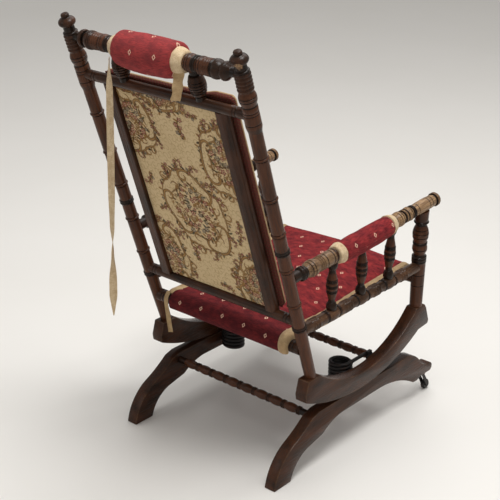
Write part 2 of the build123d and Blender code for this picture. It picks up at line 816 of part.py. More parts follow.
def ring(start, along, width, inner, outer):
    """Flat band round a bar."""
    with BuildPart() as band:
        add(rod(start, start + along * width, outer))
        add(rod(start - along, start + along * (width + 1), inner), mode=Mode.SUBTRACT)
    return band.part


def head_band(name, side):
    start = post_on_back(ROLL_X + side * (ROLL_LENGTH / 2 + SOFT_GAP), CREST_S)
    inner = CREST_R + SOFT_GAP
    with BuildPart() as band:
        add(ring(start, Vector(side, 0, 0), BAND_W, inner, HEAD_BAND_R))
        low = post_on_back(side * CREST_SPINDLE_X, UPPER_RAIL_S)
        high = post_on_back(side * CREST_SPINDLE_X, CREST_S)
        add(rod(low, high, CREST_SPINDLE_FOOT_R + SOFT_GAP), mode=Mode.SUBTRACT)
    keep(name, band.part)


def arm_pad(name, side):
    start = arm_point(side, ARM_PAD_FROM)
    end = arm_point(side, ARM_PAD_TO)
    along = (end - start).normalized()
    low, high, _ = spindle_ends(side, SPINDLES[1])
    with BuildPart() as pad:
        add(bulged(start - UP * ARM_PAD_SAG, end - UP * ARM_PAD_SAG, ARM_PAD_END_R, ARM_PAD_SWELL))
        add(rod(start - along, end + along, ARM_CORE_R + SOFT_GAP), mode=Mode.SUBTRACT)
        add(rod(low, high, SPINDLE_R + SOFT_GAP), mode=Mode.SUBTRACT)
    keep(name, pad.part)


def arm_bands(name, side):
    along = (arm_tip(side) - arm_start(side)).normalized()
    inner = ARM_CORE_R + SOFT_GAP
    rear_start = arm_point(side, ARM_PAD_FROM - ARM_BAND_W)
    front_start = arm_point(side, ARM_PAD_TO + SOFT_GAP)
    width = ARM_BAND_W - SOFT_GAP
    with BuildPart() as bands:
        for start in (rear_start, front_start):
            add(ring(start, along, width, inner, ARM_PAD_END_R - 1))
        for distance in SPINDLES:
            low, high, _ = spindle_ends(side, distance)
            add(rod(low, high, SPINDLE_R + SOFT_GAP), mode=Mode.SUBTRACT)
    keep(name, bands.part)


# Tape tails: flat ribbons hung from the bands, one of them twisted
def ribbon(name, top, length, width, twist, drift):
    """Hanging tape lofted through level sections; twist is degrees at each section."""
    step = length / (len(twist) - 1)
    with BuildPart() as tape:
        for i, turn in enumerate(twist):
            share = i / (len(twist) - 1)
            centre = top + drift * share - UP * (step * i)
            facing = radians(turn)
            with BuildSketch(Plane(origin=centre, x_dir=(cos(facing), sin(facing), 0), z_dir=(0, 0, 1))):
                Rectangle(width, TAPE_T)
        loft(ruled=True)
    keep(name, tape.part)


def tail_top(x, behind, width, turn):
    """Where a tape leaves the underside of a head band, a distance behind the crest rail's axis."""
    crest = post_on_back(x, CREST_S)
    near_edge = behind - width / 2 * abs(sin(radians(turn)))
    drop = sqrt((HEAD_BAND_R + SOFT_GAP + TAPE_T / 2) ** 2 - near_edge**2)
    return crest + Vector(0, behind, -drop)


def tails():
    band_x = ROLL_LENGTH / 2 + SOFT_GAP + BAND_W / 2
    top = tail_top(ROLL_X + band_x, LONG_TAIL_BEHIND, LONG_TAIL_W, LONG_TAIL_TWIST[0])
    ribbon("head_tape_tail", top, LONG_TAIL, LONG_TAIL_W, LONG_TAIL_TWIST, Vector(8, 12, 0))
    top = tail_top(ROLL_X - band_x, SHORT_TAIL_BEHIND, BAND_W, SHORT_TAIL_TWIST[0])
    ribbon("head_tape_end", top, SHORT_TAIL, BAND_W, SHORT_TAIL_TWIST, Vector(1, 12, 0))
    rear_y, rear_z = rail_centre("rear")
    seat_back = CONTACT_Y + rear_y + REAR_RAIL_R + SOFT_GAP + SEAT_WRAP + SEAT_TAIL_CLEAR
    place = Vector(SEAT_X + SEAT_TAIL_INSET, seat_back, rear_z - SEAT_DROP + SEAT_TAIL_LAP)
    ribbon("seat_tape_tail", place, SEAT_TAIL, SEAT_TAIL_W, SEAT_TAIL_TWIST, Vector(-15, 2, 0))


# Springs: one wire a side, from a lug on the base rail up to a strap on the rocker
def coil_axis_x():
    return BASE_X - BASE_RAIL_T / 2 - COIL_CLEAR - WIRE_R - COIL_R


def coil_point(side, turn):
    """Point on the coil's centre line and its direction there, after a number of turns."""
    angle = -pi / 2 - 2 * pi * turn
    pitch = (COIL_TOP_Z - COIL_LOW_Z) / COIL_TURNS
    x = side * (coil_axis_x() + COIL_R * cos(angle))
    point = Vector(x, CONTACT_Y + COIL_Y + COIL_R * sin(angle), COIL_LOW_Z + pitch * turn)
    return point, Vector(side * sin(angle), -cos(angle), pitch / (2 * pi * COIL_R)).normalized()


def biarc_middle(p0, t0, p1, t1):
    """Joint of the two tangent arcs between two points with given directions."""
    v = p1 - p0
    t = t0 + t1
    k = 2 * (1 - t0.dot(t1))
    d = (-v.dot(t) + sqrt(v.dot(t) ** 2 + k * v.dot(v))) / k
    return (p0 + t0 * d + p1 - t1 * d) * 0.5


def coil_nodes(side):
    """Points and directions at each quarter turn; the wire's two ends are level."""
    nodes = [coil_point(side, i / 4) for i in range(round(COIL_TURNS * 4) + 1)]
    nodes[0] = (nodes[0][0], Vector(-side, 0, 0))
    nodes[-1] = (nodes[-1][0], Vector(0, -1, 0))
    return nodes


def lug_face_x():
    return BASE_X - BASE_RAIL_T / 2 - LUG_PLATE_T - LUG / 2


def spring_coil(side):
    """One spring's wire, from the lug on the base rail up its turns to the strap on the rocker."""
    nodes = coil_nodes(side)
    first = nodes[0][0]
    last = nodes[-1][0]
    lug_point = Vector(side * (lug_face_x() - WIRE_GAP), first.Y, first.Z)
    strap_point = Vector(last.X, CONTACT_Y + STRAP_Y + LUG / 2 + WIRE_GAP, last.Z)
    with BuildPart() as coil:
        with BuildLine() as path:
            Line(lug_point, first)
            for (p0, t0), (p1, t1) in zip(nodes, nodes[1:]):
                middle = biarc_middle(p0, t0, p1, t1)
                arc = TangentArc(p0, middle, tangent=t0)
                TangentArc(middle, p1, tangent=arc % 1)
            Line(last, strap_point)
        with BuildSketch(Plane(origin=lug_point, z_dir=(-side, 0, 0))):
            RegularPolygon(WIRE_R, WIRE_SIDES)
        sweep(path=path.line, clean=False)
    return coil.part, path.wire()


def least_gap(path, samples=240):
    """Least clear distance between different turns of a wire."""
    points = [path @ (i / samples) for i in range(samples + 1)]
    apart = path.length / COIL_TURNS * 0.4
    step = path.length / samples
    gaps = [
        (p - q).length for i, p in enumerate(points) for j, q in enumerate(points) if (j - i) * step > apart
    ]
    return min(gaps) - 2 * WIRE_R


# Lugs: an iron plate screwed to the wood with a boss that takes the wire's end
def lug(name, plate_centre, boss_centre):
    with BuildPart() as iron:
        with Locations(plate_centre):
            Box(LUG_PLATE_T, LUG_PLATE_W, LUG_PLATE_W * 0.8)
        with Locations(boss_centre):
            Box(LUG / 2, LUG, LUG)
    keep(name, iron.part)


# Castors
def castor(tag, side):
    x = side * BASE_X
    y = CONTACT_Y + CASTER_Y
    axle_y = y - CASTER_TRAIL
    crown_top = TOE_Z - CASTER_PLATE_T - RUNNING_FIT
    crown_low = crown_top - FORK_CROWN_T
    half_inside = CASTER_WHEEL_W / 2 + FORK_SIDE_GAP
    half_outside = half_inside + FORK_T
    head_low = crown_low - RUNNING_FIT - PINTLE_HEAD_T
    with BuildPart() as plate:
        with BuildSketch(Plane.XY.offset(TOE_Z)):
            with Locations((x, y)):
                Circle(CASTER_PLATE_R)
        extrude(amount=-CASTER_PLATE_T)
        with BuildSketch(Plane.XY.offset(TOE_Z - CASTER_PLATE_T)):
            with Locations((x, y)):
                Circle(PINTLE_R)
        extrude(amount=head_low - TOE_Z + CASTER_PLATE_T)
        with BuildSketch(Plane.XY.offset(head_low)):
            with Locations((x, y)):
                Circle(PINTLE_HEAD_R)
        extrude(amount=PINTLE_HEAD_T)
    keep("caster_plate_" + tag, plate.part)
    with BuildPart() as fork:
        with BuildSketch(Plane.XY.offset(crown_low)):
            with Locations((x, y)):
                Circle(half_outside)
                Circle(PINTLE_R + RUNNING_FIT, mode=Mode.SUBTRACT)
        extrude(amount=FORK_CROWN_T)
        for arm_side in (1, -1):
            inner = x + arm_side * half_inside
            with BuildSketch(Plane(origin=(inner, 0, 0), x_dir=(0, 1, 0), z_dir=(1, 0, 0))):
                with Locations((axle_y, CASTER_WHEEL_R)):
                    Circle(AXLE_R + 2.5)
                with Locations((y - 1, crown_low + FORK_CROWN_T / 2)):
                    Rectangle(7, FORK_CROWN_T)
                make_hull()
                with Locations((axle_y, CASTER_WHEEL_R)):
                    Circle(AXLE_R, mode=Mode.SUBTRACT)
            extrude(amount=arm_side * FORK_T)
    keep("caster_fork_" + tag, fork.part)
    with BuildPart() as axle:
        centre = Vector(x, axle_y, CASTER_WHEEL_R)
        reach = Vector(half_outside, 0, 0)
        add(rod(centre - reach, centre + reach, AXLE_R))
    keep("caster_axle_" + tag, axle.part)
    with BuildPart() as wheel:
        half = CASTER_WHEEL_W / 2
        bore = AXLE_R + RUNNING_FIT
        rim = CASTER_WHEEL_R - RIM_ROUND
        with BuildSketch(Plane(origin=(x, axle_y, CASTER_WHEEL_R), x_dir=(1, 0, 0), z_dir=(0, -1, 0))):
            with BuildLine():
                Polyline((half, rim), (half, bore), (-half, bore), (-half, rim))
                Polyline((-half, rim), (-half + RIM_ROUND, CASTER_WHEEL_R),
                         (half - RIM_ROUND, CASTER_WHEEL_R), (half, rim))
            make_face()
        revolve(axis=Axis((x, axle_y, CASTER_WHEEL_R), (1, 0, 0)))
    keep("caster_wheel_" + tag, wheel.part)


for tag, side in SIDES.items():
    base_rail("base_rail_" + tag, side)
    rocker("rocker_" + tag, side)
    back_post("back_post_" + tag, side)
    front_post("front_post_" + tag, side)
    arm("arm_" + tag, side)
    hosts = (post_host(side, SIDE_RAIL_S), front_host(side, SIDE_RAIL_FRONT_Z))
    tenoned("side_rail_" + tag, side_rail_stations(), rail_start(side), rail_end(side), hosts)
    for number, distance in enumerate(SPINDLES, 1):
        spindle(f"arm_spindle_{number}_{tag}", side, distance)
    crest_spindle("crest_spindle_" + tag, side)
    stile("stile_" + tag, side)
    seat_edge("seat_edge_" + tag, side)
    head_band("head_band_" + tag, side)
    arm_pad("arm_pad_" + tag, side)
    arm_bands("arm_bands_" + tag, side)
    castor(tag, side)
    plate_x = side * (BASE_X - BASE_RAIL_T / 2 - LUG_PLATE_T / 2)
    start, _ = coil_point(side, 0)
    boss_x = side * (lug_face_x() + LUG / 4)
    lug("spring_shoe_" + tag, (plate_x, start.Y, start.Z + SHOE_RISE), (boss_x, start.Y, start.Z))
    plate_x = side * (SIDE_X - ROCKER_T / 2 - LUG_PLATE_T / 2)
    end, _ = coil_point(side, COIL_TURNS)
    boss_x = side * (SIDE_X - ROCKER_T / 2 - LUG_PLATE_T - LUG / 4)
    strap_y = CONTACT_Y + STRAP_Y
    lug("spring_strap_" + tag, (plate_x, strap_y, end.Z - STRAP_DROP), (boss_x, strap_y, end.Z))

base_stretcher("rear_base_stretcher", REAR_STRETCHER_Y, REAR_STRETCHER_Z)
base_stretcher("front_base_stretcher", FRONT_STRETCHER_Y, FRONT_STRETCHER_Z)
half = post_point(1, SEAT_RAIL_S).X
cross_rail("rear_seat_rail", SEAT_RAIL_S, plain_rail(half, REAR_RAIL_R))
half = post_point(1, LOWER_RAIL_S).X
cross_rail("lower_back_rail", LOWER_RAIL_S, plain_rail(half, LOWER_RAIL_R))
half = post_point(1, UPPER_RAIL_S).X
cross_rail("upper_back_rail", UPPER_RAIL_S, plain_rail(half, UPPER_RAIL_R))
cross_rail("crest_rail", CREST_S, crest_stations())
front_hosts = (front_host(-1, FRONT_RAIL_Z), front_host(1, FRONT_RAIL_Z))
half = front_point(1, FRONT_RAIL_Z).X
tenoned("front_seat_rail", plain_rail(half, FRONT_RAIL_R), front_point(-1, FRONT_RAIL_Z),
        front_point(1, FRONT_RAIL_Z), front_hosts)
back_tapestry()
back_pad()
seat_cushion()
headrest_roll()
tails()
coils = [spring_coil(side) for side in SIDES.values()]
print("least gap between spring turns, mm:", round(min(least_gap(path) for _, path in coils), 2))
keep("spring_coils", Compound(children=[coil for coil, _ in coils]))

os.makedirs("parts", exist_ok=True)
for name, part in pieces.items():
    export_step(part, f"parts/{name}.step")
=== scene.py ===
"""Dresses the platform rocking armchair: turned wood, red padded cover, tapestry back and loose tapes."""
from math import atan2, cos, pi, radians, sin, sqrt

import bmesh
import bpy
import numpy as np
from mathutils import Matrix, Vector
from mathutils.kdtree import KDTree


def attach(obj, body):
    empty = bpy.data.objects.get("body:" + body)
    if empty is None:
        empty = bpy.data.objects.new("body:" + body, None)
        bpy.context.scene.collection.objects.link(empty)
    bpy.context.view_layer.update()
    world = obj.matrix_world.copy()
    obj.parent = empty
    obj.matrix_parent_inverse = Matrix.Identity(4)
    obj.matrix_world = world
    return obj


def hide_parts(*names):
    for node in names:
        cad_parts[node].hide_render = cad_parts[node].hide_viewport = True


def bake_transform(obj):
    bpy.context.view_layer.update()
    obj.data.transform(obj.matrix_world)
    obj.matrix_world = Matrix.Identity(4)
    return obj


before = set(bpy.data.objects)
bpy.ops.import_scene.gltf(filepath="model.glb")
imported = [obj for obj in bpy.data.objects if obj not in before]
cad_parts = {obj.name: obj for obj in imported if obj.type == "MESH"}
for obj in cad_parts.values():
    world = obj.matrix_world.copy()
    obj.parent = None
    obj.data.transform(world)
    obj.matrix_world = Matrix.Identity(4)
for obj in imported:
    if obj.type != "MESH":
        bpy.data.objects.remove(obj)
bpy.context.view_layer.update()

# Setting out, in millimetres: X across the chair, Y to the rear, Z up, floor at zero
MM = 0.001
SIDES = {"left": 1, "right": -1}
CONTACT_Y = -63.2
SIDE_X = 226.0
BASE_X = 221.0
BASE_TOP_Z = 138.0
BASE_RAIL_T = 30.0
ROCKER_T = 32.0
LEAN = radians(18.0)
SPLAY = radians(0.95)
BACK_UP = Vector((0, sin(LEAN), cos(LEAN)))
BACK_FRONT = Vector((0, -cos(LEAN), sin(LEAN)))
POST_FOOT_Y = 172.0
POST_FOOT_Z = 236.0
POST_LENGTH = 835.0
BACK_ORIGIN = Vector((0, CONTACT_Y + POST_FOOT_Y, POST_FOOT_Z))
UP = Vector((0, 0, 1))
ACROSS = Vector((1, 0, 0))
SEAT_RAIL_S = 80.0
SIDE_RAIL_S = 136.0
LOWER_RAIL_S = 163.0
ARM_S = 280.0
UPPER_RAIL_S = 692.0
CREST_S = 783.0
POST_TO_TIP = 52.0
SPINDLES = (108.0, 214.0, 320.0)
SPINDLE_RAKE = 8.0
FRONT_RAIL_R = 16.0
REAR_RAIL_R = 15.0
STILE_X = 159.0
SEAT_X = 168.0
SEAT_EDGE_W = 30.0
SEAT_WRAP = 9.0
ROLL_X = 6.5
ROLL_LENGTH = 163.0
HEAD_BAND_W = 22.0
ARM_PAD_FROM = 168.0
ARM_PAD_TO = 342.0
ARM_TIP_X = 250.0
ARM_TIP_Y = -266.0
ARM_TIP_Z = 543.0
FRONT_FOOT_Y = -243.0
ROCKER_TOP_Z = 264.0
SIDE_RAIL_FRONT_Z = 376.0
FRONT_RAIL_Z = 342.0
CREST_SPINDLE_X = 108.0
SOFT_GAP = 0.3
ROLL_GAP = 0.3


def post_direction(side):
    return Vector((side * sin(SPLAY), cos(SPLAY) * BACK_UP.y, cos(SPLAY) * BACK_UP.z))


def post_point(side, s):
    return BACK_ORIGIN + ACROSS * (side * SIDE_X) + post_direction(side) * s


def on_back(x, s, offset=0.0):
    """Point at x, level with the posts' station s, offset from the back's plane towards the sitter."""
    level = post_point(1, s)
    return Vector((x, level.y, level.z)) + BACK_FRONT * offset


def arm_start(side):
    return post_point(side, ARM_S)


def arm_tip(side):
    return Vector((side * ARM_TIP_X, CONTACT_Y + ARM_TIP_Y, ARM_TIP_Z))


def arm_run(side):
    return (arm_tip(side) - arm_start(side)).normalized()


def arm_point(side, distance):
    return arm_start(side) + arm_run(side) * distance


def arm_length():
    return (arm_tip(1) - arm_start(1)).length


def front_foot(side):
    return Vector((side * SIDE_X, CONTACT_Y + FRONT_FOOT_Y, ROCKER_TOP_Z))


def front_head(side):
    return arm_point(side, arm_length() - POST_TO_TIP)


def front_point(side, z):
    foot = front_foot(side)
    along = front_head(side) - foot
    return foot + along * ((z - foot.z) / along.z)


def rail_start(side):
    return post_point(side, SIDE_RAIL_S)


def rail_end(side):
    return front_point(side, SIDE_RAIL_FRONT_Z)


def spindle_ends(side, distance):
    run = (rail_end(side) - rail_start(side)).normalized()
    low = rail_start(side) + run * distance
    reach = (arm_start(side).y - low.y - SPINDLE_RAKE) / abs(arm_run(side).y)
    return low, arm_point(side, reach)


# Materials
def paint(red, green, blue):
    """Linear colour of a red, green and blue from 0 to 255."""
    levels = []
    for level in (red, green, blue):
        share = level / 255
        levels.append(share / 12.92 if share <= 0.04045 else ((share + 0.055) / 1.055) ** 2.4)
    return (*levels, 1.0)


class Shader:
    """One procedural material, wired a node at a time."""

    def __init__(self, name):
        self.material = bpy.data.materials.new(name)
        self.material.use_nodes = True
        self.tree = self.material.node_tree
        self.bsdf = self.tree.nodes["Principled BSDF"]

    def feed(self, socket, value):
        if isinstance(value, bpy.types.NodeSocket):
            self.tree.links.new(value, socket)
        else:
            socket.default_value = value

    def attribute(self, name, output="Vector"):
        node = self.tree.nodes.new("ShaderNodeAttribute")
        node.attribute_name = name
        return node.outputs[output]

    def place(self):
        return self.tree.nodes.new("ShaderNodeTexCoord").outputs["Object"]

    def split(self, vector):
        node = self.tree.nodes.new("ShaderNodeSeparateXYZ")
        self.feed(node.inputs[0], vector)
        return node.outputs

    def math(self, operation, a, b=0.0, c=0.0):
        node = self.tree.nodes.new("ShaderNodeMath")
        node.operation = operation
        for socket, value in zip(node.inputs, (a, b, c)):
            self.feed(socket, value)
        return node.outputs[0]

    def plus(self, a, b):
        return self.math("ADD", a, b)

    def times(self, a, b):
        return self.math("MULTIPLY", a, b)

    def scaled(self, value, factor, extra):
        """A value times a factor, plus something extra."""
        return self.math("MULTIPLY_ADD", value, factor, extra)

    def wave(self, value, rate):
        return self.math("SINE", self.times(value, rate))

    def noise(self, vector, scale, detail=3.0, roughness=0.55):
        node = self.tree.nodes.new("ShaderNodeTexNoise")
        self.feed(node.inputs["Vector"], vector)
        self.feed(node.inputs["Scale"], scale)
        self.feed(node.inputs["Detail"], detail)
        self.feed(node.inputs["Roughness"], roughness)
        return node.outputs["Fac"]

    def streaks(self, vector, scales, detail=3.0, roughness=0.55):
        """Noise with a scale of its own along each axis."""
        node = self.tree.nodes.new("ShaderNodeVectorMath")
        node.operation = "MULTIPLY"
        self.feed(node.inputs[0], vector)
        self.feed(node.inputs[1], scales)
        return self.noise(node.outputs[0], 1.0, detail, roughness)

    def step(self, value, low, high, to_low=0.0, to_high=1.0):
        node = self.tree.nodes.new("ShaderNodeMapRange")
        node.interpolation_type = "SMOOTHSTEP"
        for socket, number in zip(node.inputs, (value, low, high, to_low, to_high)):
            self.feed(socket, number)
        return node.outputs[0]

    def mix(self, factor, a, b):
        node = self.tree.nodes.new("ShaderNodeMix")
        node.data_type = "RGBA"
        self.feed(node.inputs[0], factor)
        self.feed(node.inputs[6], a)
        self.feed(node.inputs[7], b)
        return node.outputs[2]

    def bump(self, height, strength, distance):
        node = self.tree.nodes.new("ShaderNodeBump")
        self.feed(node.inputs["Height"], height)
        self.feed(node.inputs["Strength"], strength)
        self.feed(node.inputs["Distance"], distance)
        self.feed(self.bsdf.inputs["Normal"], node.outputs[0])

    def set(self, name, value):
        self.feed(self.bsdf.inputs[name], value)


def wood(name, worn_highlit_share):
    """Dark stained wood: grain runs along the third grain coordinate; tone holds dark, worn and red. The
    second argument adds paleness, partly wear and partly a painted highlight, used for eased edges.
    """
    s = Shader(name)
    grain = s.attribute("grain")
    dark, worn, red = s.split(s.attribute("tone"))
    streak = s.streaks(grain, (420.0, 420.0, 22.0), 4.0, 0.6)
    broad = s.streaks(grain, (38.0, 38.0, 14.0), 3.0)
    fleck = s.streaks(grain, (900.0, 900.0, 120.0), 2.0)
    redness = s.plus(red, s.scaled(broad, 1.3, -0.65))
    colour = s.mix(s.step(redness, 0.0, 1.0), paint(38, 28, 21), paint(88, 53, 35))
    colour = s.mix(s.step(streak, 0.42, 0.72, 0.0, 0.62), colour, paint(15, 11, 9))
    # Paler tan where worn, plus the second argument's share: wear and a painted highlight for eased edges
    wear_and_highlight = s.plus(worn, s.scaled(broad, 0.3, worn_highlit_share - 0.15))
    wear_and_highlight = s.plus(wear_and_highlight, s.scaled(fleck, 0.5, -0.25))
    tan = s.mix(s.step(streak, 0.3, 0.7), paint(168, 136, 100), paint(96, 72, 54))
    colour = s.mix(s.step(wear_and_highlight, 0.22, 0.98), colour, tan)
    colour = s.mix(s.times(dark, 0.9), colour, paint(16, 13, 12))
    s.set("Base Color", colour)
    s.set("Roughness", s.scaled(streak, 0.2, 0.16))
    s.set("Specular IOR Level", 0.17)
    s.bump(s.scaled(fleck, 0.4, streak), 0.16, 0.0012)
    return s.material


# Small diamonds of the red cover: pitch and half size, across and along, in metres
DIAMOND_PITCH = (0.066, 0.047)
DIAMOND_HALF = (0.0046, 0.0058)


def figured(s, pattern):
    """Mask of a half-drop repeat of small diamond outlines over pattern coordinates in metres."""
    across, along, _ = s.split(pattern)
    rows = s.math("DIVIDE", along, DIAMOND_PITCH[1])
    odd = s.times(s.math("PINGPONG", s.math("FLOOR", rows), 1.0), 0.5)
    columns = s.plus(s.math("DIVIDE", across, DIAMOND_PITCH[0]), odd)
    reaches = []
    for cells, pitch, half in zip((columns, rows), DIAMOND_PITCH, DIAMOND_HALF):
        near = s.math("ABSOLUTE", s.math("SUBTRACT", s.math("FRACT", cells), 0.5))
        reaches.append(s.math("DIVIDE", s.times(near, pitch), half))
    reach = s.plus(*reaches)
    fray = s.noise(pattern, 900.0, 1.0)
    reach = s.plus(reach, s.scaled(fray, 0.4, -0.2))
    inside = s.step(reach, 0.46, 0.6)
    outside = s.step(reach, 0.92, 1.08, 1.0, 0.0)
    return s.times(inside, outside)


def red_cover():
    """Red moquette with short pile, darker streaks across it and small cream diamonds, with painted shade and
    painted light laid over it.
    """
    s = Shader("red_moquette")
    pattern = s.attribute("pattern")
    streak = s.streaks(pattern, (70.0, 620.0, 70.0), 4.0, 0.65)
    blotch = s.streaks(pattern, (34.0, 62.0, 34.0), 4.0, 0.6)
    pile = s.streaks(pattern, (1500.0, 1100.0, 1.0), 2.0, 0.7)
    colour = s.mix(s.step(blotch, 0.32, 0.68), paint(101, 27, 34), paint(150, 47, 48))
    colour = s.mix(s.step(streak, 0.46, 0.64, 0.0, 0.9), colour, paint(68, 17, 24))
    colour = s.mix(s.step(pile, 0.5, 0.8, 0.0, 0.45), colour, paint(170, 80, 70))
    # Painted shade: the first share darkens the cover where shade falls. Painted light: the second share
    # makes it paler where light falls.
    painted_shade, painted_light, _ = s.split(s.attribute("shade_and_light"))
    colour = s.mix(s.times(painted_shade, 0.62), colour, paint(44, 10, 14))
    colour = s.mix(s.times(painted_light, 0.13), colour, paint(206, 104, 100))
    marks = figured(s, pattern)
    colour = s.mix(s.times(marks, 0.92), colour, paint(226, 184, 158))
    s.set("Base Color", colour)
    s.set("Roughness", s.scaled(pile, 0.1, 0.84))
    s.set("Specular IOR Level", 0.15)
    s.set("Sheen Weight", 0.08)
    s.set("Sheen Roughness", 0.45)
    s.set("Sheen Tint", paint(226, 130, 128))
    height = s.scaled(streak, 0.8, pile)
    s.bump(s.scaled(marks, -0.35, height), 0.42, 0.0016)
    return s.material


def tape_cloth(name, light, shade, rib):
    """Woven cotton tape; pattern runs across then along it, in metres."""
    s = Shader(name)
    pattern = s.attribute("pattern")
    across, along, _ = s.split(pattern)
    ribs = s.wave(along, rib)
    cords = s.wave(across, 4200.0)
    age = s.noise(pattern, 60.0, 4.0, 0.6)
    soil = s.noise(pattern, 420.0, 3.0, 0.6)
    colour = s.mix(s.step(age, 0.3, 0.72), light, shade)
    colour = s.mix(s.step(soil, 0.44, 0.74, 0.0, 0.62), colour, paint(146, 112, 74))
    colour = s.mix(s.step(ribs, 0.2, 1.0, 0.0, 0.22), colour, paint(226, 206, 174))
    s.set("Base Color", colour)
    s.set("Roughness", s.scaled(soil, 0.12, 0.8))
    s.set("Specular IOR Level", 0.2)
    s.set("Sheen Weight", 0.15)
    height = s.scaled(cords, 0.35, s.times(ribs, 0.5))
    s.bump(s.scaled(soil, 0.8, height), 0.4, 0.0007)
    return s.material


def braid_cloth():
    """Figured gimp: dark brown ground with small red and tan lozenges."""
    s = Shader("figured_gimp")
    pattern = s.attribute("pattern")
    across, along, depth = s.split(pattern)
    wave = s.wave(along, 760.0)
    weft = s.wave(s.plus(across, depth), 900.0)
    figure = s.times(wave, weft)
    wear = s.noise(s.place(), 420.0, 3.0)
    colour = s.mix(s.step(figure, 0.05, 0.4), paint(62, 36, 30), paint(112, 40, 38))
    colour = s.mix(s.step(figure, -0.75, -0.35, 0.8, 0.0), colour, paint(128, 96, 68))
    colour = s.mix(s.step(wear, 0.5, 0.75, 0.0, 0.7), colour, paint(48, 24, 24))
    s.set("Base Color", colour)
    s.set("Roughness", s.scaled(wear, 0.1, 0.82))
    s.set("Specular IOR Level", 0.15)
    s.bump(s.plus(s.math("ABSOLUTE", figure), wear), 0.5, 0.0012)
    return s.material


def tapestry_cloth():
    """Jacquard tapestry: painted threads with a fine ribbed weave."""
    s = Shader("tapestry_weave")
    threads = s.attribute("threads", "Color")
    pattern = s.attribute("pattern")
    across, along, _ = s.split(pattern)
    warp = s.wave(across, 5200.0)
    weft = s.wave(along, 4300.0)
    weave = s.times(warp, weft)
    slub = s.streaks(pattern, (160.0, 900.0, 1.0), 3.0, 0.6)
    age = s.noise(pattern, 14.0, 3.0)
    colour = s.mix(s.step(slub, 0.5, 0.85, 0.0, 0.4), threads, paint(156, 128, 88))
    colour = s.mix(s.step(age, 0.45, 0.8, 0.0, 0.28), colour, paint(172, 144, 100))
    s.set("Base Color", colour)
    s.set("Roughness", s.scaled(slub, 0.12, 0.78))
    s.set("Specular IOR Level", 0.2)
    s.bump(s.scaled(slub, 0.9, weave), 0.35, 0.0007)
    return s.material


def iron(name, rust):
    """Black iron with a rough cast skin and a little rust."""
    s = Shader(name)
    place = s.place()
    skin = s.noise(place, 900.0, 4.0, 0.6)
    blotch = s.noise(place, 130.0, 3.0)
    colour = s.mix(skin, paint(26, 25, 26), paint(48, 45, 44))
    colour = s.mix(s.step(blotch, 0.5, 0.8, 0.0, rust), colour, paint(92, 60, 44))
    s.set("Base Color", colour)
    s.set("Roughness", s.scaled(blotch, 0.35, 0.34))
    s.set("Metallic", 0.55)
    s.bump(skin, 0.25, 0.0008)
    return s.material


stained_wood = wood("stained_wood", 0.0)
# Paler wood for the eased edges of sawn boards: wear and a painted highlight along them
worn_highlit_edges = wood("worn_highlit_edges", 0.34)
moquette = red_cover()
cream_tape = tape_cloth("cream_tape", paint(220, 198, 162), paint(188, 161, 123), 5200.0)
seat_tape = tape_cloth("seat_tape", paint(188, 160, 118), paint(154, 124, 84), 3600.0)
gimp = braid_cloth()
tapestry = tapestry_cloth()
black_iron = iron("black_iron", 0.3)
spring_iron = iron("spring_iron", 0.45)

# Tones of turned wood: dark, worn and red shares
PLAIN = (0.0, 0.0, 0.4)
REDDISH = (0.0, 0.0, 0.72)
EBONY = (0.28, 0.0, 0.15)
SCORED = (1.0, 0.0, 0.0)
BARE = (0.0, 1.0, 0.5)
DUSTY = (0.05, 0.38, 0.5)
HANDLED = (0.0, 0.62, 0.45)


# Mesh helpers
def link(name, data):
    """New object of some data, put into the scene."""
    piece = bpy.data.objects.new(name, data)
    bpy.context.scene.collection.objects.link(piece)
    return piece


def smoothed(name, mesh, shape, sharp):
    """Object of a shape in the making: smooth, with edges sharper than an angle kept crisp."""
    for face in shape.faces:
        face.smooth = True
    for edge in shape.edges:
        if len(edge.link_faces) == 2 and edge.calc_face_angle(0.0) > radians(sharp):
            edge.smooth = False
    shape.to_mesh(mesh)
    shape.free()
    return link(name, mesh)


def mesh_piece(name, points, faces, sharp):
    """Smoothed object from points in millimetres."""
    mesh = bpy.data.meshes.new(name)
    mesh.from_pydata([tuple(p * MM for p in point) for point in points], [], faces)
    shape = bmesh.new()
    shape.from_mesh(mesh)
    bmesh.ops.recalc_face_normals(shape, faces=shape.faces)
    return smoothed(name, mesh, shape, sharp)


def give(piece, name, values, kind="FLOAT_VECTOR"):
    """Store one value a vertex on a piece."""
    attribute = piece.data.attributes.new(name, kind, "POINT")
    field = {"FLOAT_VECTOR": "vector", "FLOAT_COLOR": "color"}[kind]
    attribute.data.foreach_set(field, np.asarray(values, dtype=np.float32).ravel())


def settle(piece, material, nodes=(), body="chair"):
    """Finish a piece: material, the CAD nodes it stands for and the body it rides on."""
    for each in material if isinstance(material, (list, tuple)) else (material,):
        piece.data.materials.append(each)
    if nodes:
        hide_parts(*nodes)
    if body:
        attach(piece, body)
    return piece


def frame_about(along):
    """Two directions square to a line, the first level where it can be."""
    level = along.cross(UP) if abs(along.z) < 0.9 else along.cross(ACROSS)
    level.normalize()
    return level, level.cross(along).normalized()


def spokes(along, count):
    """Angles round a line, each with its direction away from the line."""
    level, square = frame_about(along)
    angles = [2 * pi * j / count for j in range(count)]
    return [(angle, level * cos(angle) + square * sin(angle)) for angle in angles]


def loops_to_faces(rows, count, closed=True):
    """Quads between rows of count points, closed round each row or not."""
    faces = []
    for i in range(rows - 1):
        for j in range(count if closed else count - 1):
            k = (j + 1) % count
            faces.append((i * count + j, i * count + k, (i + 1) * count + k, (i + 1) * count + j))
    return faces


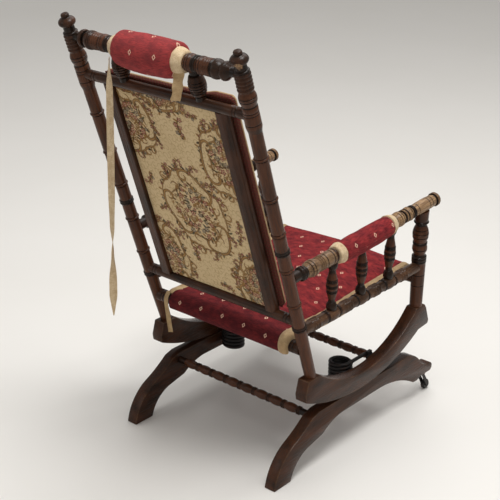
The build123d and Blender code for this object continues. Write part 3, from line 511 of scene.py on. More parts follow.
def loft(name, points, count, sharp, capped=True, **fields):
    """Piece through rows of count points, its ends capped or left open; fields hold values a vertex."""
    rows = len(points) // count
    faces = loops_to_faces(rows, count)
    if capped:
        faces += [tuple(range(count)), tuple(range((rows - 1) * count, rows * count))]
    piece = mesh_piece(name, points, faces, sharp)
    for field, values in fields.items():
        give(piece, field, values)
    return piece


# Turned pieces: profiles are lists of (distance, radius, tone)
def taper(d0, d1, r0, r1, tone=PLAIN, step=6.0):
    count = max(1, round((d1 - d0) / step))
    return [(d0 + (d1 - d0) * i / count, r0 + (r1 - r0) * i / count, tone) for i in range(count + 1)]


def swell(d0, d1, r0, peak, r1, tone=PLAIN, count=10):
    """Rounded bulb between two radii."""
    bulb = []
    for i in range(count + 1):
        share = i / count
        level = r0 + (r1 - r0) * share
        bulb.append((d0 + (d1 - d0) * share, level + (peak - (r0 + r1) / 2) * sin(pi * share), tone))
    return bulb


def bead(d0, d1, low, high, tone=EBONY):
    return swell(d0, d1, low, high, low, tone, 6)


def cleared(profile, place, reach):
    """The profile without its stations within reach of a place."""
    return [station for station in profile if abs(station[0] - place) > reach]


def in_order(profile):
    return sorted(profile, key=lambda station: station[0])


def radius_on(profile, place):
    for (d0, r0, _), (d1, r1, _) in zip(profile, profile[1:]):
        if d0 <= place <= d1:
            return r0 + (r1 - r0) * (place - d0) / max(d1 - d0, 1e-6)
    return profile[-1][1]


def scored(profile, places, depth=0.9, width=2.4):
    """The profile with V-cut lines at places along it."""
    cut = profile
    for place in places:
        radius = radius_on(cut, place)
        tone = min(cut, key=lambda station: abs(station[0] - place))[2]
        cut = cleared(cut, place, width / 2)
        cut += [(place - width / 2, radius, tone), (place, radius - depth, SCORED)]
        cut = in_order(cut + [(place + width / 2, radius, tone)])
    return cut


WORN_TONE = (0.0, 1.0, 0.6)
GRAIN_SHIFT = 0.31
turned_count = 0


def turned(name, start, end, profile, nodes, body="chair", segments=36, spot=None):
    """Turned piece about the line from start to end; spot is the middle and size of a worn place."""
    global turned_count
    turned_count += 1
    along = (end - start).normalized()
    shift = turned_count * GRAIN_SHIFT
    points = []
    grain = []
    tones = []
    for distance, radius, tone in profile:
        for angle, spoke in spokes(along, segments):
            place = start + along * distance + spoke * radius
            points.append(place)
            grain.append((radius * cos(angle) * MM + shift, radius * sin(angle) * MM, distance * MM))
            wear_and_highlight = spot and (place - spot[0]).length < spot[1]
            tones.append(WORN_TONE if wear_and_highlight else tone)
    piece = loft(name, points, segments, 50.0, grain=grain, tone=tones)
    settle(piece, stained_wood, nodes, body)


def post_profile():
    shares = (-0.75, -0.6, -0.42, -0.22, 0.0, 0.22, 0.44, 0.64, 0.8, 0.9)
    ball = [(815.5 + 12.0 * share, 19.0 * sqrt(1 - share**2), PLAIN) for share in shares]
    profile = taper(-12, 141, 13.2, 14.5, REDDISH)
    profile += bead(142, 147.4, 14.4, 16.6) + bead(148.6, 154, 14.4, 16.6)
    profile += taper(155, 351, 14.4, 14.2, REDDISH)
    profile += bead(352, 357.4, 14.4, 16.6) + bead(358.6, 364, 14.4, 16.6)
    profile += taper(365, 656, 14.4, 14.0, REDDISH)
    for ring in (214, 310, 405, 494, 594):
        profile = cleared(profile, ring, 4.6)
        profile += [(ring - 4.6, 14.3, REDDISH), (ring - 3.4, 13.2, SCORED)]
        profile += swell(ring - 2.8, ring + 2.8, 14.0, 16.4, 14.0, REDDISH, 6)
        profile += [(ring + 3.4, 13.2, SCORED), (ring + 4.6, 14.3, REDDISH)]
    profile = in_order(profile) + taper(658, 667, 14.4, 16.6, PLAIN, 3)
    profile += scored(taper(668, 714, 16.8, 16.4, REDDISH), (676, 697, 703)) + [(716, 14.8, SCORED)]
    profile += scored(swell(717.5, 747, 15.0, 18.6, 15.0, REDDISH, 12), (729, 736))
    for first in range(749, 782, 8):
        profile += bead(first, first + 7.4, 15.0, 17.2, PLAIN)
    profile += bead(789.4, 794, 14.4, 16.2)
    profile += taper(794.8, 806.2, 12.4, 12.4, EBONY, 3) + ball
    profile += [(827.0, 8.0, SCORED), (828, 9.0, PLAIN), (832, 9.0, PLAIN), (834.4, 7.6, PLAIN)]
    return profile + [(POST_LENGTH, 5.0, PLAIN)]


def front_profile(height):
    profile = taper(-6, 125, 15.6, 17.2, REDDISH) + taper(126.5, 141.5, 18.0, 18.0, EBONY, 4)
    profile += taper(142.5, 148, 15.6, 13.8, EBONY, 3) + swell(149, 174, 13.8, 18.2, 16.4, REDDISH)
    profile += bead(175.5, 178.3, 16.0, 17.6) + bead(179, 181.8, 16.0, 17.6)
    profile += swell(183, 226, 16.0, 19.6, 13.8, REDDISH, 14)
    profile += taper(228, 231, 13.2, 13.2, EBONY) + bead(232.5, 238, 15.6, 18.2)
    profile += taper(239, height - 12, 16.4, 17.2, PLAIN)
    return scored(profile, (62, 92, 130, 138, 162, 196, 206, 216), 1.2, 2.8)


def arm_profile(length):
    profile = taper(10, 31, 12.2, 12.2, EBONY) + bead(33, 40, 14.8, 16.6) + bead(40, 47, 14.8, 16.6)
    profile += taper(48.5, 51, 13.0, 13.0, EBONY) + swell(52, 90, 13.2, 19.4, 15.0, HANDLED, 12)
    profile += bead(91.5, 96.5, 15.0, 17.4, HANDLED) + [(97, 14.6, SCORED)]
    profile += bead(97.5, 102.5, 15.0, 17.4, HANDLED)
    profile += taper(104, 141, 17.4, 17.4, HANDLED) + bead(142, 149, 15.8, 17.6, PLAIN)
    profile += taper(150.5, 359.5, 13.0, 13.0, PLAIN, 20)
    profile += taper(361, 365, 13.0, 12.4, EBONY) + swell(366, 392, 12.8, 18.2, 14.0, BARE, 12)
    for first, tone in ((393.5, EBONY), (398.5, BARE), (403.5, EBONY)):
        profile += [(first - 0.4, 13.0, SCORED)] + bead(first, first + 4.4, 14.0, 16.4, tone)
    profile += [(408.4, 12.8, SCORED)] + swell(409, 424, 13.8, 17.2, 13.8, BARE)
    for first, tone in ((425.5, EBONY), (430.5, EBONY)):
        profile += [(first - 0.4, 12.6, SCORED)] + bead(first, first + 4.4, 13.8, 16.0, tone)
    profile += [(435.4, 12.8, SCORED)] + swell(436, length - 15, 13.8, 15.6, 14.0, BARE, 14)
    profile += taper(length - 13.5, length - 11, 12.8, 13.4, SCORED, 1.5)
    profile += taper(length - 10, length - 3, 16.8, 16.8, HANDLED, 3.5)
    profile += [(length - 0.8, 15.4, HANDLED), (length, 13.0, HANDLED)]
    return scored(profile, (62, 70, 112, 134, 376, 384, 417, 446, length - 40, length - 28), 1.3, 2.8)


def side_rail_profile(length):
    profile = taper(8, length - 8, 13.4, 13.4, DUSTY, 8)
    for place in SPINDLES:
        profile = cleared(profile, place, 22)
        profile += bead(place - 22, place - 17.5, 13.2, 15.0)
        profile += swell(place - 16.5, place + 16.5, 13.6, 15.8, 13.6, DUSTY)
        profile += bead(place + 17.5, place + 22, 13.2, 15.0)
    for place in (46.0, 161.0, 267.0, 373.0):
        profile = cleared(profile, place, 13)
        for shift in (-8.5, 0.0, 8.5):
            profile += bead(place + shift - 3.8, place + shift + 3.8, 13.2, 15.2, DUSTY)
    return in_order(profile)


def spindle_profile(length, rail_r, arm_r):
    body = length - rail_r - arm_r
    at = [rail_r + body * share for share in (0.0, 0.15, 0.2, 0.25, 0.76, 0.82, 0.86, 1.0)]
    profile = swell(at[0] - 5, at[1], 9.6, 12.6, 8.6, EBONY) + taper(at[1] + 0.5, at[2], 7.6, 7.6, EBONY, 3)
    profile += swell(at[3], at[4], 9.2, 13.6, 9.2, REDDISH, 16) + taper(at[5], at[6], 7.8, 7.8, EBONY, 3)
    profile += swell(at[6] + 0.5, at[7] + 4, 8.4, 12.0, 9.4, EBONY)
    middle = (at[3] + at[4]) / 2
    rings = []
    for shift in (-14.0, 0.0, 14.0):
        place = middle + shift
        crown = radius_on(profile, place)
        profile = cleared(profile, place, 3.4)
        for first in (place - 3.2, place):
            rings += bead(first, first + 3.2, crown - 0.7, crown + 0.5)
    return in_order(profile + rings)


def crest_profile(half):
    """Stacks of beads beside the head roll; the far stack is cut short by the roll's band."""
    one_end = taper(8, 26, 9.4, 9.4, EBONY) + taper(27, 36, 9.8, 18.4, PLAIN, 1.5)
    one_end += bead(36.4, 45, 18.0, 19.6, PLAIN) + taper(45.6, 48, 13.6, 13.6, SCORED, 2)
    one_end += scored(swell(48.8, 74, 14.6, 20.4, 17.0, PLAIN, 14), (66, 70))
    one_end += bead(74.6, 80, 16.6, 18.6, REDDISH) + bead(80.4, 86, 16.6, 18.4, REDDISH)
    one_end += bead(86.4, 92, 16.4, 18.2, REDDISH)
    one_end += scored(swell(92.8, 110, 16.2, 19.0, 16.2, REDDISH, 10), (98, 104))
    one_end += bead(111, 116, 15.8, 18.2)
    near_end = bead(117, 122, 15.8, 18.2) + scored(swell(123, 141, 16.4, 19.4, 16.8, REDDISH, 10), (129, 135))
    far_end = bead(117, 122, 15.8, 17.6) + taper(122.6, 126, 15.5, 15.5)
    return one_end + near_end + [(2 * half - d, r, tone) for d, r, tone in reversed(one_end + far_end)]


def rail_profile(half, radius, lines):
    profile = taper(8, 2 * half - 8, radius, radius, PLAIN, 16)
    return scored(profile, [half + place for line in lines for place in (-line, line)], 0.8)


def bobbin_profile():
    profile = taper(8, 17, 10.8, 10.8, EBONY, 4) + taper(18, 21, 8.4, 8.4, EBONY)
    profile += swell(21, 64, 13.8, 18.8, 13.8, PLAIN, 16)
    profile += taper(65, 67, 8.8, 8.8, EBONY) + taper(68, 80, 10.4, 10.4, EBONY)
    return scored(profile, (28, 34, 40, 46, 52), 1.5, 3.0)


def stretcher_profile(half):
    """Bamboo-like segments with ring pairs between them."""
    count = 8
    pitch = (2 * half - 48) / count
    profile = taper(-4, 22, 8.6, 8.6, EBONY)
    for i in range(count):
        first = 24 + i * pitch
        for ring in (first, first + 5.2):
            profile += bead(ring, ring + 4.6, 8.8, 10.8, PLAIN)
        profile += swell(first + 11, first + pitch - 1, 8.4, 11.2, 8.4, REDDISH)
    return profile + taper(2 * half - 22, 2 * half + 4, 8.6, 8.6, EBONY)


SIDE_RAIL_SEAT_R = 15.2
ARM_SEAT_R = {1: 17.0, 2: 13.0, 3: 13.0}  # the first spindle meets the bare arm, the others its padded core
for tag, side in SIDES.items():
    worn_place = (post_point(side, 809) + Vector((-7.0, 12.0, -4.0)), 9.0) if tag == "right" else None
    turned("post_" + tag, post_point(side, 0), post_point(side, POST_LENGTH), post_profile(),
           ["back_post_" + tag], segments=44, spot=worn_place)
    rise = (front_head(side) - front_foot(side)).length
    turned("arm_post_" + tag, front_foot(side), front_head(side), front_profile(rise),
           ["front_post_" + tag], segments=40)
    turned("arm_bar_" + tag, arm_start(side), arm_tip(side), arm_profile(arm_length()),
           ["arm_" + tag], segments=40)
    run = (rail_end(side) - rail_start(side)).length
    turned("seat_side_" + tag, rail_start(side), rail_end(side), side_rail_profile(run), ["side_rail_" + tag])
    for number, distance in enumerate(SPINDLES, start=1):
        low, high = spindle_ends(side, distance)
        profile = spindle_profile((high - low).length, SIDE_RAIL_SEAT_R, ARM_SEAT_R[number])
        turned(f"spindle_{number}_{tag}", low, high, profile, [f"arm_spindle_{number}_{tag}"], segments=28)
    bobbin_x = side * CREST_SPINDLE_X
    turned("bobbin_" + tag, on_back(bobbin_x, UPPER_RAIL_S), on_back(bobbin_x, CREST_S), bobbin_profile(),
           ["crest_spindle_" + tag], segments=32)


def cross_ends(node, level):
    """Both ends of a rail across the chair, at a station of the back or, for the front rail, at a height."""
    place = front_point if node == "front_seat_rail" else post_point
    return place(-1, level), place(1, level)


ends = cross_ends("crest_rail", CREST_S)
turned("crest_bar", *ends, crest_profile(ends[1].x), ["crest_rail"], segments=40)
for node, level, radius, lines in (
    ("upper_back_rail", UPPER_RAIL_S, 11.5, (196, 204)),
    ("lower_back_rail", LOWER_RAIL_S, 12.0, (196, 204)),
    ("rear_seat_rail", SEAT_RAIL_S, REAR_RAIL_R, (196, 204)),
    ("front_seat_rail", FRONT_RAIL_Z, FRONT_RAIL_R, (198,)),
):
    ends = cross_ends(node, level)
    turned(node.replace("_rail", "_bar"), *ends, rail_profile(ends[1].x, radius, lines), [node])
for node, y, z in (("rear_base_stretcher", 148.0, 119.0), ("front_base_stretcher", -190.0, 112.0)):
    reach = BASE_X - BASE_RAIL_T / 2
    start = Vector((-reach, CONTACT_Y + y, z))
    end = start + ACROSS * (2 * reach)
    turned(node.replace("_base", ""), start, end, stretcher_profile(reach), [node], "base")


# Sawn pieces: an outline in the side view, given thickness and eased edges
def arc(a, b, c, count=14):
    """Points of the arc from a through b, stopping before c."""
    ax, ay = a
    bx, by = b
    cx, cy = c
    d = 2 * (ax * (by - cy) + bx * (cy - ay) + cx * (ay - by))
    ux = ((ax**2 + ay**2) * (by - cy) + (bx**2 + by**2) * (cy - ay) + (cx**2 + cy**2) * (ay - by)) / d
    uy = ((ax**2 + ay**2) * (cx - bx) + (bx**2 + by**2) * (ax - cx) + (cx**2 + cy**2) * (bx - ax)) / d
    radius = sqrt((ax - ux) ** 2 + (ay - uy) ** 2)
    first = atan2(ay - uy, ax - ux)
    turn = atan2(cy - uy, cx - ux) - first
    middle = (atan2(by - uy, bx - ux) - first) % (2 * pi)
    turn = turn % (2 * pi)
    if middle > turn:
        turn -= 2 * pi
    angles = [first + turn * i / count for i in range(count)]
    return [(ux + radius * cos(angle), uy + radius * sin(angle)) for angle in angles]


SAWN_EASE = 2.2
SAWN_TONE = (0.14, 0.03, 0.5)


def sawn(name, outline, middle_x, thickness, nodes, body):
    """Board cut to an outline of (distance from the contact line, height), with its edges eased."""
    shape = bmesh.new()
    sides = []
    low = middle_x - thickness / 2
    for x in (low, low + thickness):
        sides.append([shape.verts.new((x * MM, (CONTACT_Y + y) * MM, z * MM)) for y, z in outline])
    first, second = sides
    caps = [shape.faces.new(first), shape.faces.new(second)]
    for i in range(len(outline)):
        j = (i + 1) % len(outline)
        shape.faces.new((first[i], first[j], second[j], second[i]))
    bmesh.ops.recalc_face_normals(shape, faces=shape.faces)
    rims = [edge for cap in caps for edge in cap.edges]
    corners = [edge for edge in shape.edges if edge not in rims and edge.calc_face_angle(0.0) > radians(28)]
    eased = bmesh.ops.bevel(shape, geom=rims + corners, offset=SAWN_EASE * MM, segments=2, profile=0.5,
                            affect="EDGES")
    # Eased edges take the paler wood: wear and a painted highlight along them
    for face in eased["faces"]:
        face.material_index = 1
    mesh = bpy.data.meshes.new(name)
    piece = smoothed(name, mesh, shape, 32.0)
    places = np.array([vertex.co[:] for vertex in mesh.vertices])
    give(piece, "grain", places[:, (0, 2, 1)])
    give(piece, "tone", np.tile(SAWN_TONE, (len(places), 1)))
    settle(piece, [stained_wood, worn_highlit_edges], nodes, body)


def rail_outline():
    front_top = (-206.0, BASE_TOP_Z)
    knee = (171.0, BASE_TOP_Z - 7)
    calf = (240.0, BASE_TOP_Z - 49)
    shin = (189.0, 60.0)
    hock = (132.0, 72.0)
    ball = (-238.0, 52.0)
    toe_under = (-311.0, 57.0)
    toe_top = (-308.0, 81.0)
    scroll = (-267.0, 99.0)
    outline = [front_top, (146.0, BASE_TOP_Z)]
    outline += arc(knee, (204.0, BASE_TOP_Z - 30), calf)
    outline += arc(calf, (285.0, 51.0), (306.0, 0.0))
    outline += [(306.0, 0.0)] + arc((248.0, 0.0), (227.0, 37.0), shin)
    outline += [shin] + arc(hock, (103.0, 88.0), (60.0, 98.0))
    outline += [(60.0, 98.0)] + arc((-83.0, 98.0), (-166.0, 86.0), ball)
    outline += [ball, (-255.0, 51.0), (-269.0, 57.0)]
    outline += arc(toe_under, (-320.0, 72.0), toe_top)
    outline += arc(toe_top, (-284.0, 86.0), scroll)
    return outline + arc(scroll, (-243.0, 124.0), front_top)


def rocker_outline():
    radius = 470.0
    roll_z = BASE_TOP_Z + ROLL_GAP

    def bottom(y):
        return roll_z + radius - sqrt(radius**2 - y**2)

    front_low = (-238.0, bottom(238.0))
    rear_low = (204.0, bottom(204.0))
    front_in = (-226.0, 264.0)
    outline = arc(front_low, (0.0, roll_z), rear_low, 48)
    outline += [rear_low, (206.0, 201.0), (196.0, 236.0)]
    outline += arc((152.0, 236.0), (-10.0, 178.0), front_in, 40)
    return outline + [front_in, (-261.0, 264.0), (-268.0, 253.0), (-281.0, 214.0), (-277.0, 206.0)]


for tag, side in SIDES.items():
    sawn("rail_" + tag, rail_outline(), side * BASE_X, BASE_RAIL_T, ["base_rail_" + tag], "base")
    sawn("crescent_" + tag, rocker_outline(), side * SIDE_X, ROCKER_T, ["rocker_" + tag], "chair")


STILE_TONE = (0.08, 0.0, 0.5)


def stile(tag, side):
    """Inner stile of the back, with eased edges; the right one is chamfered along its outer rear edge."""
    low = LOWER_RAIL_S + 9.0
    high = UPPER_RAIL_S - 8.0
    outer_edge = [(3.6, -10), (5.4, -9.4), (11.8, -3.2), (12.8, -1.4)]
    if tag == "left":
        outer_edge = [(11.2, -10), (12.8, -8.4)]
    section = [(-12.8, -8.4), (-11.2, -10)] + outer_edge
    section += [(12.8, 9.6), (10.4, 12), (-10.4, 12), (-12.8, 9.6)]
    points = []
    grain = []
    rows = 24
    for i in range(rows):
        s = low + (high - low) * i / (rows - 1)
        for x, offset in section:
            points.append(on_back(side * (STILE_X + x), s, offset))
            grain.append((x * MM + side, offset * MM, s * MM))
    tone = [STILE_TONE] * len(points)
    piece = loft("stile_bar_" + tag, points, len(section), 30.0, grain=grain, tone=tone)
    settle(piece, stained_wood, ["stile_" + tag])


for tag, side in SIDES.items():
    stile(tag, side)


# Padding
def hump(share, power=0.5):
    """One in the middle, falling to nothing at both ends of a share from 0 to 1."""
    return max(0.0, 1 - (2 * share - 1) ** 2) ** power


def ripple(*phases):
    """Small uneven wave from a few phases, about -1 to 1."""
    return sum(sin(phase) for phase in phases) / len(phases)


VOXEL = 0.006
PUFF_FRAMES = 20
CLOTH = {
    "use_pressure": True,
    "uniform_pressure_force": 4.0,
    "tension_stiffness": 1.0,
    "compression_stiffness": 1.0,
    "shear_stiffness": 0.5,
    "mass": 0.05,
    "vertex_group_mass": "held",
}


def plump(piece, cap, held):
    """Press a cover out with a cloth simulation; held says which places stay put, cap limits the movement."""
    scene = bpy.context.scene
    closed = piece.data.copy()
    shape = bmesh.new()
    shape.from_mesh(closed)
    bmesh.ops.holes_fill(shape, edges=[edge for edge in shape.edges if edge.is_boundary], sides=0)
    shape.to_mesh(closed)
    shape.free()
    trial = link(piece.name + "_trial", closed)
    remesh = trial.modifiers.new("remesh", "REMESH")
    remesh.mode = "VOXEL"
    remesh.voxel_size = VOXEL
    drawn = trial.evaluated_get(bpy.context.evaluated_depsgraph_get())
    skin = bpy.data.meshes.new_from_object(drawn)
    trial.modifiers.clear()
    trial.data = skin
    rest = np.empty(3 * len(skin.vertices))
    skin.vertices.foreach_get("co", rest)
    rest = rest.reshape(-1, 3)
    pinned = trial.vertex_groups.new(name="held")
    pinned.add([i for i, place in enumerate(rest) if held(Vector(place) / MM)], 1.0, "REPLACE")
    cloth = trial.modifiers.new("cloth", "CLOTH")
    for setting, value in CLOTH.items():
        setattr(cloth.settings, setting, value)
    cloth.settings.effector_weights.gravity = 0.0
    cloth.point_cache.frame_start = 1
    cloth.point_cache.frame_end = PUFF_FRAMES
    for number in range(1, PUFF_FRAMES + 1):
        scene.frame_set(number)
    drawn = trial.evaluated_get(bpy.context.evaluated_depsgraph_get())
    blown = np.empty(3 * len(drawn.data.vertices))
    drawn.data.vertices.foreach_get("co", blown)
    moved = blown.reshape(-1, 3) - rest
    largest = np.linalg.norm(moved, axis=1).max()
    moved *= min(1.0, cap * MM / max(largest, 1e-9))
    tree = KDTree(len(rest))
    for i, place in enumerate(rest):
        tree.insert(place, i)
    tree.balance()
    for vertex in piece.data.vertices:
        found = tree.find_n(vertex.co, 6)
        shares = [1 / (distance + 0.002) for _, _, distance in found]
        pull = sum(moved[i] * share for (_, i, _), share in zip(found, shares)) / sum(shares)
        vertex.co += Vector(pull)
    bpy.data.objects.remove(trial)
    scene.frame_set(1)


TUCK_REACH = 5.0
GATHER_REACH = 34.0


def sleeve(name, start, end, nodes, end_r, mid_r, core_r, sag, bluff, cap, painted_light):
    """Stuffed sleeve that sags a little, tied in at both ends with gathers; bluff sets how soon it swells,
    and the last argument how much painted light makes it paler.
    """
    along = (end - start).normalized()
    length = (end - start).length
    rows = 58
    count = 64
    round_it = spokes(along, count)
    points = []
    pattern = []
    for i in range(rows):
        share = i / (rows - 1)
        from_end = min(share, 1 - share) * length
        full = end_r + (mid_r - end_r) * hump(share, bluff)
        tuck = max(0.0, 1 - from_end / TUCK_REACH)
        drop = UP * (sag * hump(share, 0.8))
        pull = 0.75 * max(0.0, 1 - from_end / GATHER_REACH)
        for angle, spoke in round_it:
            gather = pull * ripple(13 * angle + 1, 7 * angle + 2.4, 19 * angle)
            slack = 0.7 * ripple(3 * angle + 9 * share, 2 * angle - 14 * share + 1, 21 * share + angle)
            radius = full + gather + slack - 3.2 * tuck**2
            points.append(start + along * (share * length) - drop + spoke * radius)
            pattern.append((share * length * MM, angle * (end_r + mid_r) / 2 * MM + 0.011, 0.0))
    faces = loops_to_faces(rows, count)
    for row, place in ((0, start), (rows - 1, end)):
        first = len(points)
        points += [place + spoke * core_r for _, spoke in round_it]
        pattern += pattern[row * count : (row + 1) * count]
        for j in range(count):
            k = (j + 1) % count
            faces.append((row * count + j, row * count + k, first + k, first + j))
    piece = mesh_piece(name, points, faces, 70.0)
    plump(piece, cap, lambda place: not 7.0 < (place - start).dot(along) < length - 7.0)
    give(piece, "pattern", pattern)
    # painted light: a share of pale red laid over the whole sleeve
    give(piece, "shade_and_light", [(0.0, painted_light, 0.0)] * len(points))
    settle(piece, moquette, nodes)


def wrapped_band(name, start, along, nodes, width, first_r, last_r, core_r):
    """Tape tied round the end of a sleeve, tapering outward, with a lapped free edge."""
    profile = [(0.0, core_r), (0.0, first_r - 1.2), (0.8, first_r)]
    for share in (0.25, 0.5, 0.75, 0.92):
        profile.append((width * share, first_r + (last_r - first_r) * share**1.4))
    profile += [(width, last_r - 1.0), (width, core_r)]
    count = 56
    points = []
    pattern = []
    for distance, radius in profile:
        for j, (angle, spoke) in enumerate(spokes(along, count)):
            lap = 0.9 if 0.1 < j / count < 0.45 and radius > core_r else 0.0
            crease = 0.35 * ripple(5 * angle, 9 * angle + distance) if radius > core_r else 0.0
            points.append(start + along * distance + spoke * (radius + lap + crease))
            pattern.append((distance * MM, angle * first_r * MM, 0.0))
    piece = loft(name, points, count, 60.0, capped=False, pattern=pattern)
    settle(piece, cream_tape, nodes)


CREST_HOLE_R = 15.9
ARM_HOLE_R = 13.3
ARM_BAND_W = 17.5
roll_mid = on_back(ROLL_X, CREST_S)
roll_reach = ACROSS * (ROLL_LENGTH / 2)
# The head roll is painted paler all over as painted light
sleeve("head_roll", roll_mid - roll_reach, roll_mid + roll_reach, ["headrest_roll"],
       end_r=33.0, mid_r=40.4, core_r=CREST_HOLE_R, sag=3.0, bluff=0.45, cap=5.0, painted_light=1.0)
for tag, side in SIDES.items():
    start = roll_mid + ACROSS * (side * (ROLL_LENGTH / 2 - 2.0)) - UP * 0.8
    wrapped_band("head_wrap_" + tag, start, ACROSS * side, ["head_band_" + tag],
                 width=HEAD_BAND_W + 1.0, first_r=27.4, last_r=20.8, core_r=CREST_HOLE_R)
    sag = UP * 2.0
    sleeve("arm_roll_" + tag, arm_point(side, ARM_PAD_FROM) - sag, arm_point(side, ARM_PAD_TO) - sag,
           ["arm_pad_" + tag], end_r=22.4, mid_r=25.6, core_r=ARM_HOLE_R, sag=0.8, bluff=0.5, cap=4.0,
           painted_light=0.0)
    for end, place, way, nodes in (
        ("rear", ARM_PAD_FROM + 2.0, -1, ["arm_bands_" + tag]),
        ("front", ARM_PAD_TO - 2.0, 1, []),
    ):
        start = arm_point(side, place) - sag * 0.6
        wrapped_band(f"arm_wrap_{end}_{tag}", start, arm_run(side) * way, nodes,
                     width=ARM_BAND_W, first_r=23.8, last_r=19.6, core_r=ARM_HOLE_R - 0.1)


# Seat: one cover over the front and rear rails
def rail_centre(name):
    point = front_point(1, FRONT_RAIL_Z) if name == "front" else post_point(1, SEAT_RAIL_S)
    return point.y - CONTACT_Y, point.z


def seat_path(share):
    """Outer side path of the seat at a share of its half width, from front rail to rear rail."""
    front_y, front_z = rail_centre("front")
    rear_y, rear_z = rail_centre("rear")
    front_r = FRONT_RAIL_R + SOFT_GAP + SEAT_WRAP
    rear_r = REAR_RAIL_R + SOFT_GAP + SEAT_WRAP
    rise = 14.0 * (1 - share**2)
    diagonal = sin(radians(45))
    front_low = (front_y - front_r, front_z - 10)
    front_bow = (front_y - front_r * diagonal - 1, front_z + front_r * diagonal + rise * 0.4)
    front_top = (front_y + 4, front_z + front_r + rise * 0.6)
    rear_top = (rear_y - 8, rear_z + rear_r + rise * 0.3)
    rear_bow = (rear_y + rear_r * diagonal + 1, rear_z + rear_r * diagonal + rise * 0.2)
    rear_back = (rear_y + rear_r, rear_z - 6)
    middle = ((front_top[0] + rear_top[0]) / 2, (front_top[1] + rear_top[1]) / 2 - 16.0 + rise)
    path = [(front_y - 4, front_z - 21), (front_y - 14, front_z - 20), (front_y - front_r + 3, front_z - 16)]
    path += arc(front_low, front_bow, front_top, 10)
    path += arc(front_top, middle, rear_top, 30)
    path += arc(rear_top, rear_bow, rear_back, 10)
    path += [rear_back, (rear_y + rear_r - 1, rear_z - 10), (rear_y + rear_r - 4, rear_z - 14)]
    return path + [(rear_y + 13, rear_z - 17), (rear_y + 5, rear_z - 19)]


def seat_inner():
    """Inner side path of the seat, from the rear rail forward."""
    front_y, front_z = rail_centre("front")
    rear_y, rear_z = rail_centre("rear")
    rear_hug = [(rear_y + 15.6 * cos(a), rear_z + 15.6 * sin(a)) for a in (-0.9, -0.4, 0.2, 0.8, 1.4, 2.0)]
    front_hug = [(front_y + 16.6 * cos(a), front_z + 16.6 * sin(a)) for a in (1.1, 1.7, 2.3, 2.9, 3.5, 4.2)]
    rear_under = (rear_y - 14, rear_z + 6)
    front_under = (front_y + 15, front_z + 6)
    low_mid = ((rear_under[0] + front_under[0]) / 2, (rear_under[1] + front_under[1]) / 2 - 8)
    return rear_hug + arc(rear_under, low_mid, front_under, 22) + front_hug


def run_lengths(path):
    lengths = [0.0]
    for (y0, z0), (y1, z1) in zip(path, path[1:]):
        lengths.append(lengths[-1] + sqrt((y1 - y0) ** 2 + (z1 - z0) ** 2))
    return lengths


def seat():
    """Red cover from tape to tape, a little slack between the rails, with a narrower left end behind."""
    reach = SEAT_X + SEAT_EDGE_W - 3.0
    left_reach = SEAT_X - 2.0
    right_reach = SEAT_X + 18.0
    rows = 61
    points = []
    pattern = []
    shade_and_light = []
    inner = seat_inner()
    turn_down = len(seat_path(0.0)) - 25
    for i in range(rows):
        x = -reach + 2 * reach * i / (rows - 1)
        path = seat_path(max(-1.0, min(1.0, x / SEAT_X)))
        lengths = run_lengths(path)
        for k, ((y, z), length) in enumerate(zip(path, lengths)):
            slack = 0.8 * ripple(x / 26 + y / 60, x / 41 - y / 35 + 1.2, y / 22 + x / 90)
            drawn_in = min(1.0, max(0.0, (k - turn_down) / 14))
            rear_reach = left_reach if x > 0 else right_reach
            shown_x = x * (1 - drawn_in * (1 - rear_reach / reach))
            points.append((shown_x, CONTACT_Y + y, z + (slack if 60 < length < lengths[-1] - 60 else 0.0)))
            pattern.append((shown_x * MM, length * MM, 0.0))
            # painted shade: the rear turn-down darkens the further it is drawn in
            shade_and_light.append((drawn_in, 0.0, 0.0))
        for y, z in inner:
            shown_x = max(-right_reach, min(x, left_reach)) if y > 0 else x
            points.append((shown_x, CONTACT_Y + y, z))
            pattern.append((x * MM, 0.0, 0.0))
            # painted shade: the underside of the cover is darkened in full
            shade_and_light.append((1.0, 0.0, 0.0))
    piece = loft("seat_cover", points, len(path) + len(inner), 60.0)
    rails = [rail_centre("front"), rail_centre("rear")]

    def held(place):
        on_rail = any(sqrt((place.y - CONTACT_Y - y) ** 2 + (place.z - z) ** 2) < 22.0 for y, z in rails)
        return on_rail or abs(place.x) > SEAT_X - 8.0

    plump(piece, 6.0, held)
    give(piece, "pattern", pattern)
    give(piece, "shade_and_light", shade_and_light)
    for polygon in piece.data.polygons[-2:]:
        polygon.material_index = 1
    settle(piece, [moquette, seat_tape], ["seat_cushion"])


